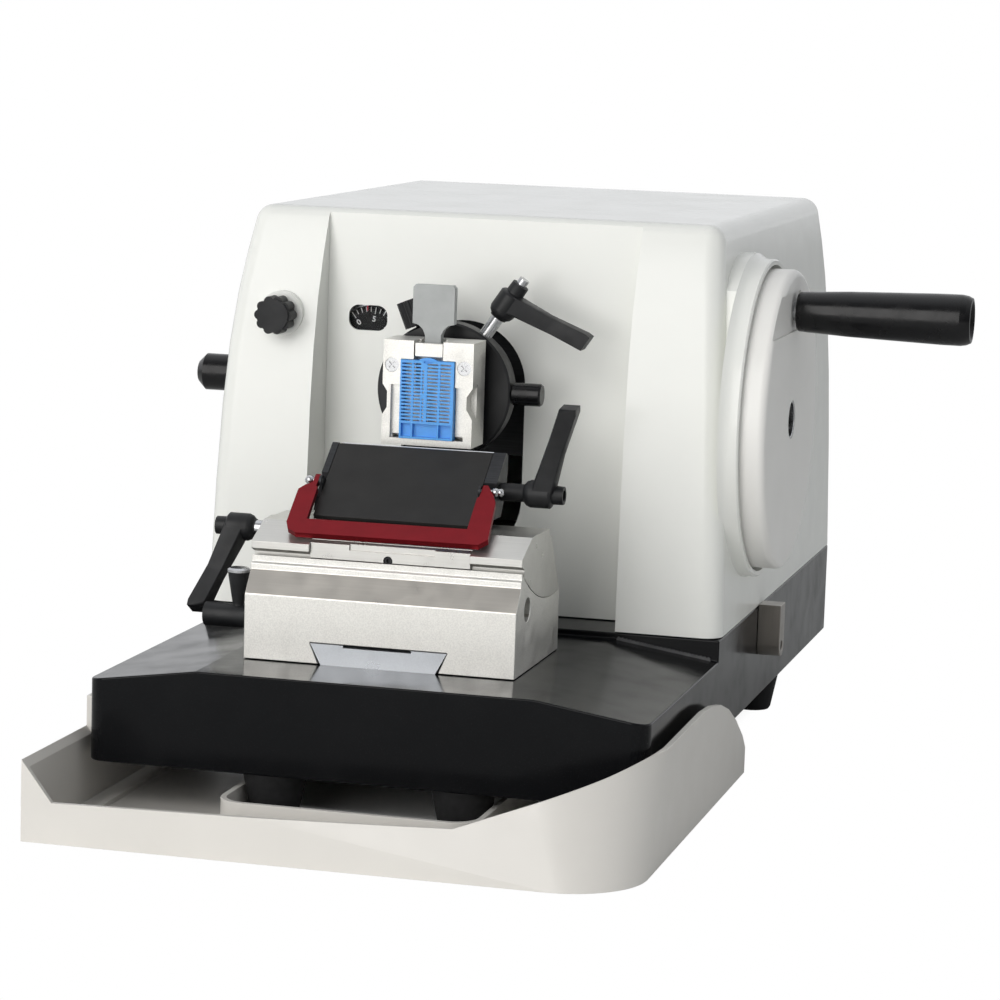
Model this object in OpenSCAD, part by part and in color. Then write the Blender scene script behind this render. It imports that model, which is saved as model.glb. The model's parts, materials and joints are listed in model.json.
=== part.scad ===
// Rotary microtome: cast base, moulded cover, handwheel on the right,
// orientable cassette clamp, knife holder on a dovetail rail, waste tray.
// X runs to the operator's right, Y away from the operator, Z up.

/* [Base casting] */
// Width of the base casting
base_w = 282; // [276:1:296]
// Depth of the base casting
base_d = 523; // [500:1:560]
// Height of the rubber feet
foot_h = 27; // [22:1:30]
// Height of the long side edges above the bench
deck_edge_z = 67.5; // [62:0.5:70]
// Height of the flat deck crest above the bench
deck_z = 75.8; // [73:0.1:78]
// Width of the flat crest between the sloping shoulders
crest_w = 169.6; // [160:0.4:190]
// Distance from the front face to the raised seat of the cover
seat_y = 171; // [168:1:178]
// Height of the cover's seat above the bench
seat_z = 78.9; // [77:0.1:82]
// Radius of the vertical corners of the casting
base_r = 9; // [4:1:14]
// Wall thickness of the casting round its underside pocket
base_wall = 12; // [8:1:20]
// Bottom radius of a rubber foot
foot_r = 11; // [9:0.5:14]
// Half distance between the two front feet
front_foot_x = 48; // [44:1:50]
// Distance from the front face to the front feet
front_foot_y = 16; // [15:1:24]
// Half distance between the two rear feet
rear_foot_x = 120; // [100:1:122]
// Distance from the rear feet to the back face
rear_foot_in = 132; // [128:1:136]

/* [Cover] */
// Height of the top of the cover above the bench
cover_top_z = 291; // [288:1:296]
// Amount by which each side leans in at the top
cover_side_lean = 13.6; // [10:0.2:18]
// Amount by which the front pillars lean back at the top
cover_front_lean = 35.5; // [30:0.5:40]
// Amount by which the back leans forward at the top
cover_back_lean = 20; // [8:1:26]
// Wall thickness of the cover
cover_wall = 4; // [3:0.5:5]
// Radius of the cover's outer edges
cover_r = 10; // [6:1:14]
// Thickness of the gasket under the cover
gasket_t = 0.6; // [0.4:0.1:1]
// Distance from the front face to the recessed front panel
panel_y = 204; // [203:0.5:206]
// Width of the recess between the two front pillars
recess_w = 171; // [166:1:176]

/* [Handwheel] */
// Radius of the handwheel
wheel_r = 80; // [70:1:81]
// Thickness of the handwheel
wheel_t = 17; // [15:0.5:20]
// Distance from the machine's centre to the handwheel's outer face
wheel_face_x = 160; // [158:0.5:164]
// Distance from the front face to the handwheel's axis
wheel_y = 252; // [251:0.5:256]
// Height of the handwheel's axis above the bench
wheel_z = 186.5; // [185:0.5:190]
// Running gap between handwheel and cover boss
wheel_gap = 2; // [1:0.5:2.5]
// Radial width of the boss rim round the handwheel
boss_rim = 3; // [2:0.5:5]
// Radius of the drive shaft
shaft_r = 10; // [8:0.5:12]
// Distance from the wheel's axis to the handle's axis
handle_off = 58; // [50:1:62]
// Length of the handle grip
grip_l = 91; // [84:1:104]
// Gap between the wheel and the grip
grip_gap = 1; // [0.5:0.5:3]
// Radius of the grip at the wheel
grip_r1 = 10.6; // [9:0.1:12]
// Radius of the grip at its free end
grip_r2 = 13.5; // [12:0.1:15]
// Radius of the handle spindle
spindle_r = 5; // [4:0.5:6]

/* [Specimen drive] */
// Distance of the specimen axis from the machine's centre plane
head_x = -9; // [-11:0.5:-7]
// Height of the specimen axis at the top of its stroke
head_z = 201; // [199:0.5:203]
// Vertical stroke of the specimen head
stroke = 60; // [56:1:62]
// Radius of the horizontal feed cylinder
feed_r = 22; // [18:0.5:24]
// Length of the feed cylinder
feed_l = 96; // [84:1:100]
// Radius of the vertical guide columns
guide_r = 8; // [6:0.5:9]
// Half distance between the guide columns
guide_dx = 34; // [33:0.5:36]
// Distance from the front face to the guide columns
guide_y = 236; // [232:1:240]
// Height of the slide block
block_h = 78; // [70:1:84]

/* [Specimen head] */
// Distance from the front face to the clamp's front face
clamp_y = 133; // [132:0.5:136]
// Width of the cassette clamp
clamp_w = 48; // [46:0.5:56]
// Height of the cassette clamp
clamp_h = 54; // [52:0.5:60]
// Depth of the cassette clamp
clamp_d = 23.5; // [22:0.5:24]
// Radius of the ball housing's front flange
flange_r = 36; // [34.5:0.5:38]
// Radius of the ball housing's body
housing_r = 32.5; // [30:0.5:33]
// Depth of the ball housing
housing_d = 27; // [24:0.5:27.5]
// Thickness of the ball housing's flange
flange_t = 12; // [10:0.5:14]
// Gap between the clamp and the ball housing
head_gap = 7.2; // [7:0.1:8]
// Radius of the head ball
ball_r = 15; // [12:0.5:16]
// Width of the tissue cassette
cassette_w = 28.5; // [28:0.1:29]
// Length of the tissue cassette
cassette_h = 40.5; // [40:0.1:41]
// Thickness of the tissue cassette
cassette_t = 6; // [5:0.1:7]

/* [Knife holder] */
// Width of the knife holder base
holder_w = 139; // [136:1:142]
// Centre of the knife holder base across the machine
holder_x = -4.6; // [-6:0.2:-3]
// Distance from the front face to the holder's front
holder_y = 41; // [36:0.5:44]
// Depth of the knife holder base
holder_d = 88.3; // [86:0.1:89]
// Width of the dovetail rail at its top
rail_w = 70; // [60:1:76]
// Height of the dovetail rail
rail_h = 10.5; // [9:0.5:11.5]
// Radius of the arc on which the blade segment tilts
arc_r = 107.5; // [104:0.5:112]
// Height of the centre of the segment's arc
arc_z = 214; // [212:0.5:218]
// Distance from the front face to the blade's edge
edge_y = 119; // [118:0.5:121]
// Height of the blade's edge above the bench
edge_z = 176.5; // [175:0.5:178]
// Length of the disposable blade
blade_l = 80; // [75:1:81]
// Angle of the pressure plate to the horizontal
plate_lean = 37; // [36:0.5:38]
// Width of the pressure plate
plate_w = 81.5; // [81:0.5:86]
// Centre of the blade holder across the machine
blade_x = -9; // [-11:0.1:-7]
// Length of the pressure plate
plate_l = 54.5; // [50:0.5:55]
// Angle of the finger guard to the horizontal
guard_lean = 31; // [29:0.5:32]
// Thickness of the pressure plate
plate_t = 3; // [2:0.1:3.4]

/* [Clamping levers] */
// Radius of a lever's hub
lever_r = 7; // [6:0.5:8]
// Length of a lever's hub
lever_hub = 21; // [18:1:24]
// Length of a lever's arm
lever_arm = 46; // [38:1:50]

/* [Waste tray] */
// Clearance between the tray's side wings and the casting
tray_gap = 4.5; // [3:0.1:9]
// Reach of the tray in front of the base casting
tray_front = 64; // [60:1:72]
// Distance from the front face back to the tray's rear edge
tray_back = 218; // [200:1:224]
// Height of the tray's side wings
wing_h = 58; // [50:1:60]
// Height of the tray's front lip
lip_h = 20; // [16:1:24]
// Wall thickness of the tray
tray_wall = 3; // [2:0.5:4]

/* [Knobs and dial] */
// Distance of the thickness knob from the casting's left side
knob_in = 36.5; // [34:0.5:40]
// Height of the thickness knob
knob_z = 235; // [231:1:238]
// Radius of the thickness knob over its lobes
knob_r = 10.3; // [8:0.1:12]
// Width of the dial window
window_w = 21.5; // [18:0.5:24]
// Height of the dial window
window_h = 13.6; // [11:0.2:15]
// Radius of the thickness dial
dial_r = 18; // [16:0.5:20]
// Distance from the thickness knob across to the dial's centre
dial_dx = 41.5; // [40:0.5:44]
// Distance from the thickness knob down to the dial's centre
dial_dz = 14; // [12:0.5:16]
// Radius of the coarse feed knob
coarse_r = 10; // [8:0.5:12]

/* [Hidden] */
$fn = 48;
eps = 0.01;
gap = 0.3;       // clearance between pieces that slide on each other
run = 0.05;      // radial running clearance of a shaft in its bore

bx = base_w / 2;
cover_z = seat_z + gasket_t;
cover_h = cover_top_z - cover_z;
back_x = 137 / 141 * bx;
// outer face of the cover's right side at the height of the wheel
boss_x = wheel_face_x - wheel_t + 4;
wheel_back = wheel_face_x - wheel_t;
boss_in = bx - cover_side_lean - cover_wall;
pin_off = stroke / 2;
crank_x = head_x + 55;
yoke_x0 = head_x + 46;
yoke_x1 = crank_x - 3;
yoke_z = wheel_z + pin_off;
block_y0 = panel_y + cover_wall + 10;
block_y1 = guide_y + guide_r + 10;
guide_top = head_z + block_h / 2 + 3 + 12;
slot_r = housing_r + 1.2;

clamp_back = clamp_y + clamp_d;
housing_y = clamp_back + head_gap;
stud_y = housing_y + flange_t / 2;
feed_y = housing_y + housing_d;
ball_y = housing_y + 14;
clamp_z = head_z + 1.5;
cass_z = head_z - 1.6;
cass_y = clamp_y - 1.5;
jaw_w = 15;
jaw_z0 = cass_z + cassette_h / 2 + 1.4 + gap;

holder_x0 = holder_x - holder_w / 2;
holder_x1 = holder_x + holder_w / 2;
holder_back = holder_y + holder_d;
arc_y = holder_back - 15.3;
plate_x0 = blade_x - plate_w / 2;
plate_x1 = blade_x + plate_w / 2;
cam_y = edge_y - 13;
cam_z = edge_z - 17.8;
seg_lever_y = holder_y + 49;
seg_lever_z = deck_z + 58.2;
base_lever_y = holder_y + 17;
base_lever_z = deck_z + 18.2;
coarse_y = 230;
coarse_z = 196;
knob_x = knob_in - bx;
knob_y = front_at(knob_z) - 17.2;
dial_x = knob_x + dial_dx;
dial_z = knob_z - dial_dz;
// overall width of the tray over its wings
tray_w = base_w + 2 * (tray_gap + tray_wall);
hub_sink = 3;    // depth of the hub screw behind the wheel's face
lug_y = 282;
// the tray passes the feet at their width at the top of its rim
foot_side = foot_r + 5 * (lip_h - 2.5) / (foot_h - 1.5) + gap + 0.1;

// outer limits, used to stand the model centred on its own origin
grip_x = wheel_face_x + grip_gap;
x_hi = grip_x + grip_l + 1.5;
x_lo = -(bx + 25);
mid_x = (x_hi + x_lo) / 2;
mid_y = (base_d - tray_front) / 2;

black_gloss = "#17181b";
black_matt = "#242526";
white_gloss = "#e6e7e2";
white_warm = "#e9e5de";
alu = "#c9c9c6";
steel = "#b9babb";
red_anod = "#8c1722";

module place() { translate([-mid_x, -mid_y, 0]) children(); }

// a (y, z) outline drawn out along X
module along_x(x0, x1) { translate([x0, 0, 0]) rotate([90, 0, 90]) linear_extrude(x1 - x0) children(); }
// an (x, z) outline drawn out along Y
module along_y(y0, y1) { translate([0, y1, 0]) rotate([90, 0, 0]) linear_extrude(y1 - y0) children(); }

module rod_x(x0, x1, r) { translate([x0, 0, 0]) rotate([0, 90, 0]) cylinder(r = r, h = x1 - x0); }
module rod_y(y0, y1, r) { translate([0, y0, 0]) rotate([-90, 0, 0]) cylinder(r = r, h = y1 - y0); }

module at_head(a) { translate([head_x, stud_y, head_z]) rotate([0, a, 0]) children(); }

module rounded_rect(x0, y0, x1, y1, r) {
  union() {
    translate([x0 + r, y0]) square([x1 - x0 - 2 * r, y1 - y0]);
    translate([x0, y0 + r]) square([x1 - x0, y1 - y0 - 2 * r]);
    for (x = [x0 + r, x1 - r], y = [y0 + r, y1 - r]) translate([x, y]) circle(r = r);
  }
}

// frame of the blade: origin on its edge, y up the slope, z out of the front
module at_edge() { translate([0, edge_y, edge_z]) rotate([plate_lean, 0, 0]) children(); }

// clamping lever: hub along z, arm towards x, its end raised by rise, collar below the hub
module lever_body(rise, collar = 0) {
  difference() {
    union() {
      translate([0, 0, -collar]) rotate_extrude() polygon([[0, 0], [lever_r - 2.5, 0], [lever_r - 2.5, collar + 0.5],
        [lever_r - 0.8, collar + 2], [lever_r, collar + 4], [lever_r, collar + lever_hub - 7],
        [lever_r - 1, collar + lever_hub - 6], [lever_r - 2.2, collar + lever_hub - 5.6], [lever_r - 2.4, collar + lever_hub], [0, collar + lever_hub]]);
      hull() {
        translate([0, 0, lever_hub - 15.5]) cylinder(r = lever_r - 0.6, h = 9, $fn = 24);
        translate([lever_arm * 0.55, 0, lever_hub - 14.5 + rise * 0.55]) cylinder(r = 4.4, h = 7.5, $fn = 20);
      }
      hull() {
        translate([lever_arm * 0.55, 0, lever_hub - 14.5 + rise * 0.55]) cylinder(r = 4.4, h = 7.5, $fn = 20);
        translate([lever_arm - 3, -5, lever_hub - 14.5 + rise]) cube([3, 10, 8.5]);
      }
    }
    translate([0, 0, lever_hub - 2]) cylinder(r = 2.9, h = 3);
  }
}

// ---------------------------------------------------------------- base
module base_plan(inset = 0) {
  rounded_rect(-bx + inset, inset, bx - inset, base_d - inset, base_r - min(inset, base_r - 2));
}
module base_section() {
  polygon([[-bx, foot_h], [bx, foot_h], [bx, deck_edge_z], [crest_w / 2, deck_z],
    [-crest_w / 2, deck_z], [-bx, deck_edge_z]]);
}
module base_casting() place() color(black_gloss) difference() {
  union() {
    intersection() {
      along_y(0, base_d) base_section();
      translate([0, 0, foot_h - 1]) linear_extrude(seat_z) base_plan();
    }
    intersection() {
      translate([-bx, seat_y, foot_h + 10]) cube([base_w, base_d - seat_y, seat_z - foot_h - 10]);
      linear_extrude(seat_z) base_plan();
    }
  }
  // cored underside with cross ribs and the bosses of the rear feet left standing
  difference() {
    for (y = [[48, seat_y + 30], [seat_y + 42, base_d - 150], [base_d - 138, base_d - base_wall]])
      translate([0, 0, foot_h - 1])
        linear_extrude(deck_edge_z - foot_h - base_wall)
          rounded_rect(-bx + base_wall, y[0], bx - base_wall - 6, y[1], 8);
    for (s = [-1, 1]) translate([s * rear_foot_x, base_d - rear_foot_in, 0]) cylinder(r = foot_r + 7, h = deck_edge_z);
  }
  // sockets of the guide columns
  for (s = [-1, 1]) translate([head_x + s * guide_dx, guide_y, seat_z - 10])
    cylinder(r = guide_r, h = 20);
}
module foot() rotate_extrude() polygon([[0, 0], [foot_r - 1, 0], [foot_r, 1.5],
  [foot_r + 5, foot_h], [0, foot_h]]);
module foot_front_left() place() color(black_matt) translate([-front_foot_x, front_foot_y, 0]) foot();
module foot_front_right() place() color(black_matt) translate([front_foot_x, front_foot_y, 0]) foot();
module foot_rear_left() place() color(black_matt) translate([-rear_foot_x, base_d - rear_foot_in, 0]) foot();
module foot_rear_right() place() color(black_matt) translate([rear_foot_x, base_d - rear_foot_in, 0]) foot();

module side_lug() place() color(steel) difference() {
  union() {
    translate([bx, lug_y, 58]) cube([12.5, 14, 22]);
    translate([0, lug_y + 7, 58]) rod_x(bx, bx + 12.5, 7);
  }
  translate([0, lug_y + 7, 57]) rod_x(bx + 2, bx + 13, 2.75);
}

// ---------------------------------------------------------------- cover
// half width of the cover at height z
function side_at(z, t) = let (q = max(0, (z - cover_z) / cover_h))
  bx - t - cover_side_lean * (0.45 * q + 0.55 * pow(q, 3.2));
// front of the pillars and back of the cover at height z
function front_at(z) = let (q = max(0, (z - cover_z) / cover_h))
  seat_y + cover_front_lean * (0.2 * q + 0.8 * pow(q, 4.5));
function back_at(z) = base_d - cover_back_lean * pow(max(0, (z - cover_z) / cover_h), 6);

module cover_form(t, z0, z1) {
  r = cover_r - t * 0.6;
  zt = z1 - r;
  hull() {
    for (q = [0, 0.3, 0.5, 0.65, 0.78, 0.88]) let (z = z0 + (z1 - z0) * q)
      for (s = [-1, 1]) {
        translate([s * (side_at(z, t) - r), front_at(z) + t + r, z]) cylinder(r = r, h = 0.2, $fn = 32);
        translate([s * (side_at(z, t) - r), back_at(z) - t - r, z]) cylinder(r = r, h = 0.2, $fn = 32);
      }
    for (s = [-1, 1]) {
      translate([s * (side_at(zt, t) - r), front_at(zt) + t + r, zt]) sphere(r = r, $fn = 32);
      translate([s * (side_at(zt, t) - r), back_at(zt) - t - r, zt]) sphere(r = r, $fn = 32);
    }
  }
}
// low round boss that carries the rim round the handwheel
module wheel_boss() {
  r = wheel_r + wheel_gap + boss_rim;
  side = side_at(wheel_z, 0);
  translate([0, wheel_y, wheel_z]) rotate([0, 90, 0]) rotate_extrude($fn = 96)
    polygon([[0, side - 0.2], [r + 3, side - 0.2], [r + 1.2, side + 2], [r, side + 5], [r, boss_x - 0.8], [r - 0.8, boss_x], [0, boss_x]]);
  // root of the boss, behind the corner of the pillar
  intersection() {
    translate([0, wheel_y, wheel_z]) rod_x(boss_in + 0.5, side, r + 3);
    along_x(boss_in, side + 1) polygon([for (q = [0, 0.3, 0.5, 0.65, 0.78, 0.88, 0.95]) [front_at(cover_z + q * cover_h) + cover_r, cover_z + q * cover_h],
      [base_d - 60, cover_z + 0.95 * cover_h], [base_d - 60, cover_z]]);
  }
}
module wheel_recess() {
  translate([0, wheel_y, wheel_z]) rod_x(wheel_back - wheel_gap, wheel_face_x + 20, wheel_r + wheel_gap);
}
module arm_slot(y0, y1) {
  along_y(y0, y1) union() {
    translate([head_x, head_z]) circle(r = slot_r, $fn = 64);
    translate([head_x, head_z - stroke]) circle(r = slot_r, $fn = 64);
    translate([head_x - slot_r, head_z - stroke]) square([2 * slot_r, stroke]);
  }
}
module window_plan(grow = 0) {
  translate([dial_x, dial_z + 12]) rounded_rect(-window_w / 2 - grow, -window_h / 2 - grow,
    window_w / 2 + grow, window_h / 2 + grow, window_h / 2 - 1.2);
}
module cover() place() color(white_gloss) difference() {
  union() {
    difference() {
      cover_form(0, cover_z, cover_top_z);
      // recessed front panel between the pillars
      translate([-recess_w / 2, 0, cover_z - 1]) cube([recess_w, panel_y, cover_h + 10]);
    }
    wheel_boss();
    // low collar behind the thickness knob
    translate([knob_x, 0, knob_z]) rod_y(front_at(knob_z) - 2.6, front_at(knob_z) + 4, 12);
  }
  wheel_recess();
  // inside of the moulding
  difference() {
    cover_form(cover_wall, cover_z - 1, cover_top_z - cover_wall);
    translate([-recess_w / 2 - cover_wall, 0, 0]) cube([recess_w + 2 * cover_wall, panel_y + cover_wall, 400]);
  }
  arm_slot(panel_y - 1, panel_y + cover_wall + 1);
  along_y(panel_y - 1, panel_y + cover_wall + 1) window_plan();
  along_y(panel_y + 1.6, panel_y + cover_wall + 1) window_plan(1.5);
  // drive shaft, coarse feed shaft and thickness shaft
  translate([0, wheel_y, wheel_z]) rod_x(100, 170, shaft_r + 4);
  translate([0, coarse_y, coarse_z]) rod_x(-170, -100, 9);
  translate([knob_x, 0, knob_z]) rod_y(knob_y - 10, panel_y + cover_wall, 3.3);
}
module cover_gasket() place() color(black_matt) difference() {
  translate([0, 0, seat_z]) linear_extrude(gasket_t) difference() {
    rounded_rect(-bx + 1, seat_y + 1, bx - 1, base_d - 1, base_r);
    rounded_rect(-bx + 5, seat_y + 5, bx - 5, base_d - 5, base_r - 3);
    translate([-recess_w / 2, 0]) square([recess_w, panel_y + 0.5]);
  }
}
// ribbed strip in the wedge between each sloping shoulder and the seat
module cover_edge_seal() place() color(black_matt) {
  shoulder = (deck_z - deck_edge_z) / (bx - crest_w / 2);
  n = 24;
  x0 = crest_w / 2 + 2;
  pitch = (bx - crest_w / 2 - 6) / n;
  // a strip on the shoulder with a row of low bumps along its top
  for (s = [-1, 1]) along_y(seat_y - 1.6, seat_y) polygon([
    [s * x0, deck_z - 2 * shoulder + 0.02],
    for (i = [0 : n - 1], k = [0.15, 0.5, 0.85]) [s * (x0 + (i + k) * pitch),
      deck_z - (2 + (i + k) * pitch) * shoulder + (k == 0.5 ? 1.9 : 1.3)],
    [s * (bx - 4), deck_edge_z + 4 * shoulder + 0.02]]);
}
module dial_lens() place() color([0.8, 0.85, 0.9, 0.4])
  along_y(panel_y + 1.6, panel_y + 3.2) window_plan(1.3);
module dial_bracket() place() color(steel) difference() {
  union() {
    along_y(panel_y + 11, panel_y + 14) rounded_rect(knob_x - 9, dial_z - 9, dial_x + 9, knob_z + 9, 4);
    for (z = [dial_z - 5, knob_z + 5]) translate([dial_x - dial_r - 3.5, 0, z])
      rod_y(panel_y + cover_wall, panel_y + 12, 3);
    translate([dial_x, 0, dial_z]) rod_y(panel_y + 5.6, panel_y + 12, 2.5);
  }
  translate([knob_x, 0, knob_z]) rod_y(panel_y, panel_y + 20, 3 + run);
}

// ---------------------------------------------------------------- inside of the drive
module bearing_stand() place() color(black_matt) difference() {
  union() {
    along_x(crank_x + 14, crank_x + 30) polygon([[wheel_y - 34, seat_z], [wheel_y + 34, seat_z],
      [wheel_y + 20, wheel_z], [wheel_y - 20, wheel_z]]);
    translate([0, wheel_y, wheel_z]) rod_x(crank_x + 12, crank_x + 32, 20);
  }
  translate([0, wheel_y, wheel_z]) rod_x(crank_x, crank_x + 60, shaft_r + run);
}
module guide_columns() place() color(steel) {
  for (s = [-1, 1]) translate([head_x + s * guide_dx, guide_y, seat_z - 10])
    cylinder(r = guide_r, h = guide_top - seat_z + 10);
  // bridge that ties the columns together at the top
  difference() {
    translate([0, 0, guide_top - 12]) linear_extrude(12)
      rounded_rect(head_x - guide_dx - 13, guide_y - 13, head_x + guide_dx + 13, guide_y + 13, 8);
    for (s = [-1, 1]) translate([head_x + s * guide_dx, guide_y, guide_top - 13]) cylinder(r = guide_r, h = 14);
  }
}
module coarse_bush() place() color(black_matt) translate([0, coarse_y, coarse_z]) difference() {
  union() {
    rod_x(-bx - 4.5, -bx + 12, 9 - 0.02);
    rod_x(-bx - 4.5, -bx + 1, 12);
  }
  rod_x(-bx - 10, -bx + 20, 4 + run);
}
module dovetail_rail() place() color(alu) difference() {
  along_y(holder_y, seat_y - 12) polygon([
    [holder_x - rail_w / 2 + 5.6, deck_z], [holder_x + rail_w / 2 - 5.6, deck_z],
    [holder_x + rail_w / 2, deck_z + rail_h], [holder_x - rail_w / 2, deck_z + rail_h]]);
  // relief slot along the top of the rail
  along_y(holder_y - 1, seat_y) polygon([[holder_x - 18, deck_z + rail_h - 1.2], [holder_x + 17, deck_z + rail_h - 1.2],
    [holder_x + 17, deck_z + 20], [holder_x - 18, deck_z + 20]]);
}

// ---------------------------------------------------------------- handwheel
module handwheel() place() color(white_warm) difference() {
  translate([0, wheel_y, wheel_z]) rotate([0, 90, 0]) rotate_extrude($fn = 96) difference() {
    union() {
      translate([0, wheel_back]) square([wheel_r - 4, wheel_t]);
      translate([0, wheel_back + 2]) square([wheel_r, wheel_t - 6]);
      translate([wheel_r - 4, wheel_face_x - 4]) circle(r = 4);
      translate([wheel_r - 4, wheel_back]) square([2, wheel_t - 4]);
    }
    // lightening web behind the face
    translate([28, wheel_back - 1]) square([wheel_r - 12 - 28, 9]);
  }
  translate([0, wheel_y, wheel_z]) rod_x(wheel_back - 1, wheel_face_x + 1, shaft_r - 3);
  translate([0, wheel_y, wheel_z]) rod_x(wheel_face_x - 3.2 - hub_sink, wheel_face_x + 1, 10.4);
  translate([0, wheel_y, wheel_z + handle_off]) rod_x(wheel_back - 1, wheel_face_x + 1, spindle_r);
  // shallow flat band from the rim to the root of the handle
  translate([wheel_face_x - 1.2, wheel_y - wheel_r, wheel_z + handle_off - 10.5]) cube([5, wheel_r + 12, 21]);
}
module drive_shaft() place() color(steel) {
  translate([0, wheel_y, wheel_z]) {
    rod_x(crank_x + 8, wheel_back, shaft_r);
    rod_x(wheel_back - 0.01, wheel_face_x - 5 - hub_sink, shaft_r - 3);
    rod_x(crank_x, crank_x + 8.01, pin_off + 8);
    // crank pin, stopped short of the yoke
    translate([0, 0, pin_off]) rod_x(yoke_x1 + 0.6, crank_x + 0.01, 6);
  }
}
module hub_screw() place() color(steel) translate([-hub_sink, wheel_y, wheel_z]) difference() {
  union() {
    rod_x(wheel_face_x - 3.2, wheel_face_x - 1.6, 10.2);
    rod_x(wheel_face_x - 5, wheel_face_x - 3.1, 6);
    rotate([0, 90, 0]) rotate_extrude() polygon([[6.5, wheel_face_x - 2], [10.2, wheel_face_x - 1.6],
      [10.2, wheel_face_x - 0.4], [8.2, wheel_face_x - 0.4]]);
  }
  translate([wheel_face_x - 4.6, 0, 0]) rotate([0, 90, 0]) cylinder(r = 4.6, h = 6, $fn = 6);
}
module handle_spindle() place() color(steel) translate([0, wheel_y, wheel_z + handle_off]) {
  rod_x(wheel_back + 9, grip_x + grip_l - 4, spindle_r - 0.02);
  rod_x(grip_x + grip_l - 4, grip_x + grip_l - 1, grip_r2 - 4.6);
}
module handle_grip() place() color(black_gloss) translate([grip_x, wheel_y, wheel_z + handle_off])
  rotate([0, 90, 0]) rotate_extrude($fn = 64) polygon([[spindle_r + run, 0], [grip_r1 - 1, 0], [grip_r1 - 0.1, 1],
    [grip_r1, 3], [grip_r1 + 0.2, 5], [grip_r1 + 1.4, grip_l * 0.3], [grip_r2 - 0.6, grip_l * 0.62],
    [grip_r2, grip_l * 0.85], [grip_r2, grip_l - 4], [grip_r2 - 0.5, grip_l - 1], [grip_r2 - 1.6, grip_l + 1.3],
    [grip_r2 - 3.2, grip_l + 1.5], [grip_r2 - 4.2, grip_l - 0.4], [grip_r2 - 4.2, grip_l - 4.4], [spindle_r + run, grip_l - 4.4]]);

// ---------------------------------------------------------------- vertical slide and feed
module slide_block() place() color(black_matt) difference() {
  union() {
    translate([0, 0, head_z - block_h / 2]) linear_extrude(block_h)
      rounded_rect(head_x - guide_dx - guide_r - 4, block_y0, head_x + guide_dx + guide_r + 2, block_y1, 3);
    // yoke plate for the crank pin
    along_x(head_x + guide_dx + guide_r, yoke_x1) rounded_rect(wheel_y - pin_off - 10, yoke_z - 13, wheel_y + pin_off + 10, yoke_z + 13, 5);
  }
  translate([head_x, 0, head_z]) rod_y(block_y0 - 5, block_y1 + 5, feed_r + run);
  for (s = [-1, 1]) translate([head_x + s * guide_dx, guide_y, 0]) cylinder(r = guide_r + run, h = 400);
  along_x(yoke_x0, yoke_x1 + 1) rounded_rect(wheel_y - pin_off - 6.4, yoke_z - 6.3, wheel_y + pin_off + 6.4, yoke_z + 6.3, 6.2);
}
module feed_cylinder() place() color(steel) translate([head_x, feed_y, head_z])
  rotate([-90, 0, 0]) rotate_extrude($fn = 96) difference() {
    polygon([[0, 0], [feed_r, 0], [feed_r, feed_l - 1], [feed_r - 1, feed_l], [feed_r - 6, feed_l], [feed_r - 6, feed_l - 30], [0, feed_l - 30]]);
    // cup that clears the back of the ball
    translate([0, ball_y - feed_y]) circle(r = ball_r + 4.6, $fn = 96);
  }
module ball_housing() place() color(black_matt) difference() {
  translate([head_x, housing_y, head_z]) rotate([-90, 0, 0]) rotate_extrude($fn = 96) difference() {
    polygon([[0, 0], [flange_r - 1, 0], [flange_r, 1], [flange_r, flange_t - 1], [flange_r - 1, flange_t],
      [housing_r, flange_t], [housing_r, housing_d - 2], [housing_r - 2, housing_d], [0, housing_d]]);
    // cavity of the ball and its gimbal ring, open to the front
    translate([0, ball_y - housing_y]) circle(r = ball_r + 4.6, $fn = 96);
    polygon([[0, -1], [19, -1], [16.2, 5], [0, 5]]);
  }
  // threads for the head lever and the two orienting screws
  for (a = [[34, 3.5], [90, 4], [-22, 4]]) at_head(a[0]) translate([0, 0, 25]) cylinder(r = a[1] + run, h = 20);
}
module gimbal_ring() place() color(steel) translate([head_x, ball_y, head_z])
  rotate([-90, 0, 0]) rotate_extrude($fn = 96) difference() {
    circle(r = ball_r + 4.2, $fn = 96);
    circle(r = ball_r + gap, $fn = 96);
    translate([-40, -60]) square([80, 54]);
    translate([-40, 8]) square([80, 40]);
    translate([-80, -40]) square([80, 80]);
  }
module head_ball() place() color(steel) translate([head_x, ball_y, head_z]) {
  sphere(r = ball_r, $fn = 64);
  rod_y(clamp_back - ball_y, -ball_r + 4, 9);
}

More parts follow.
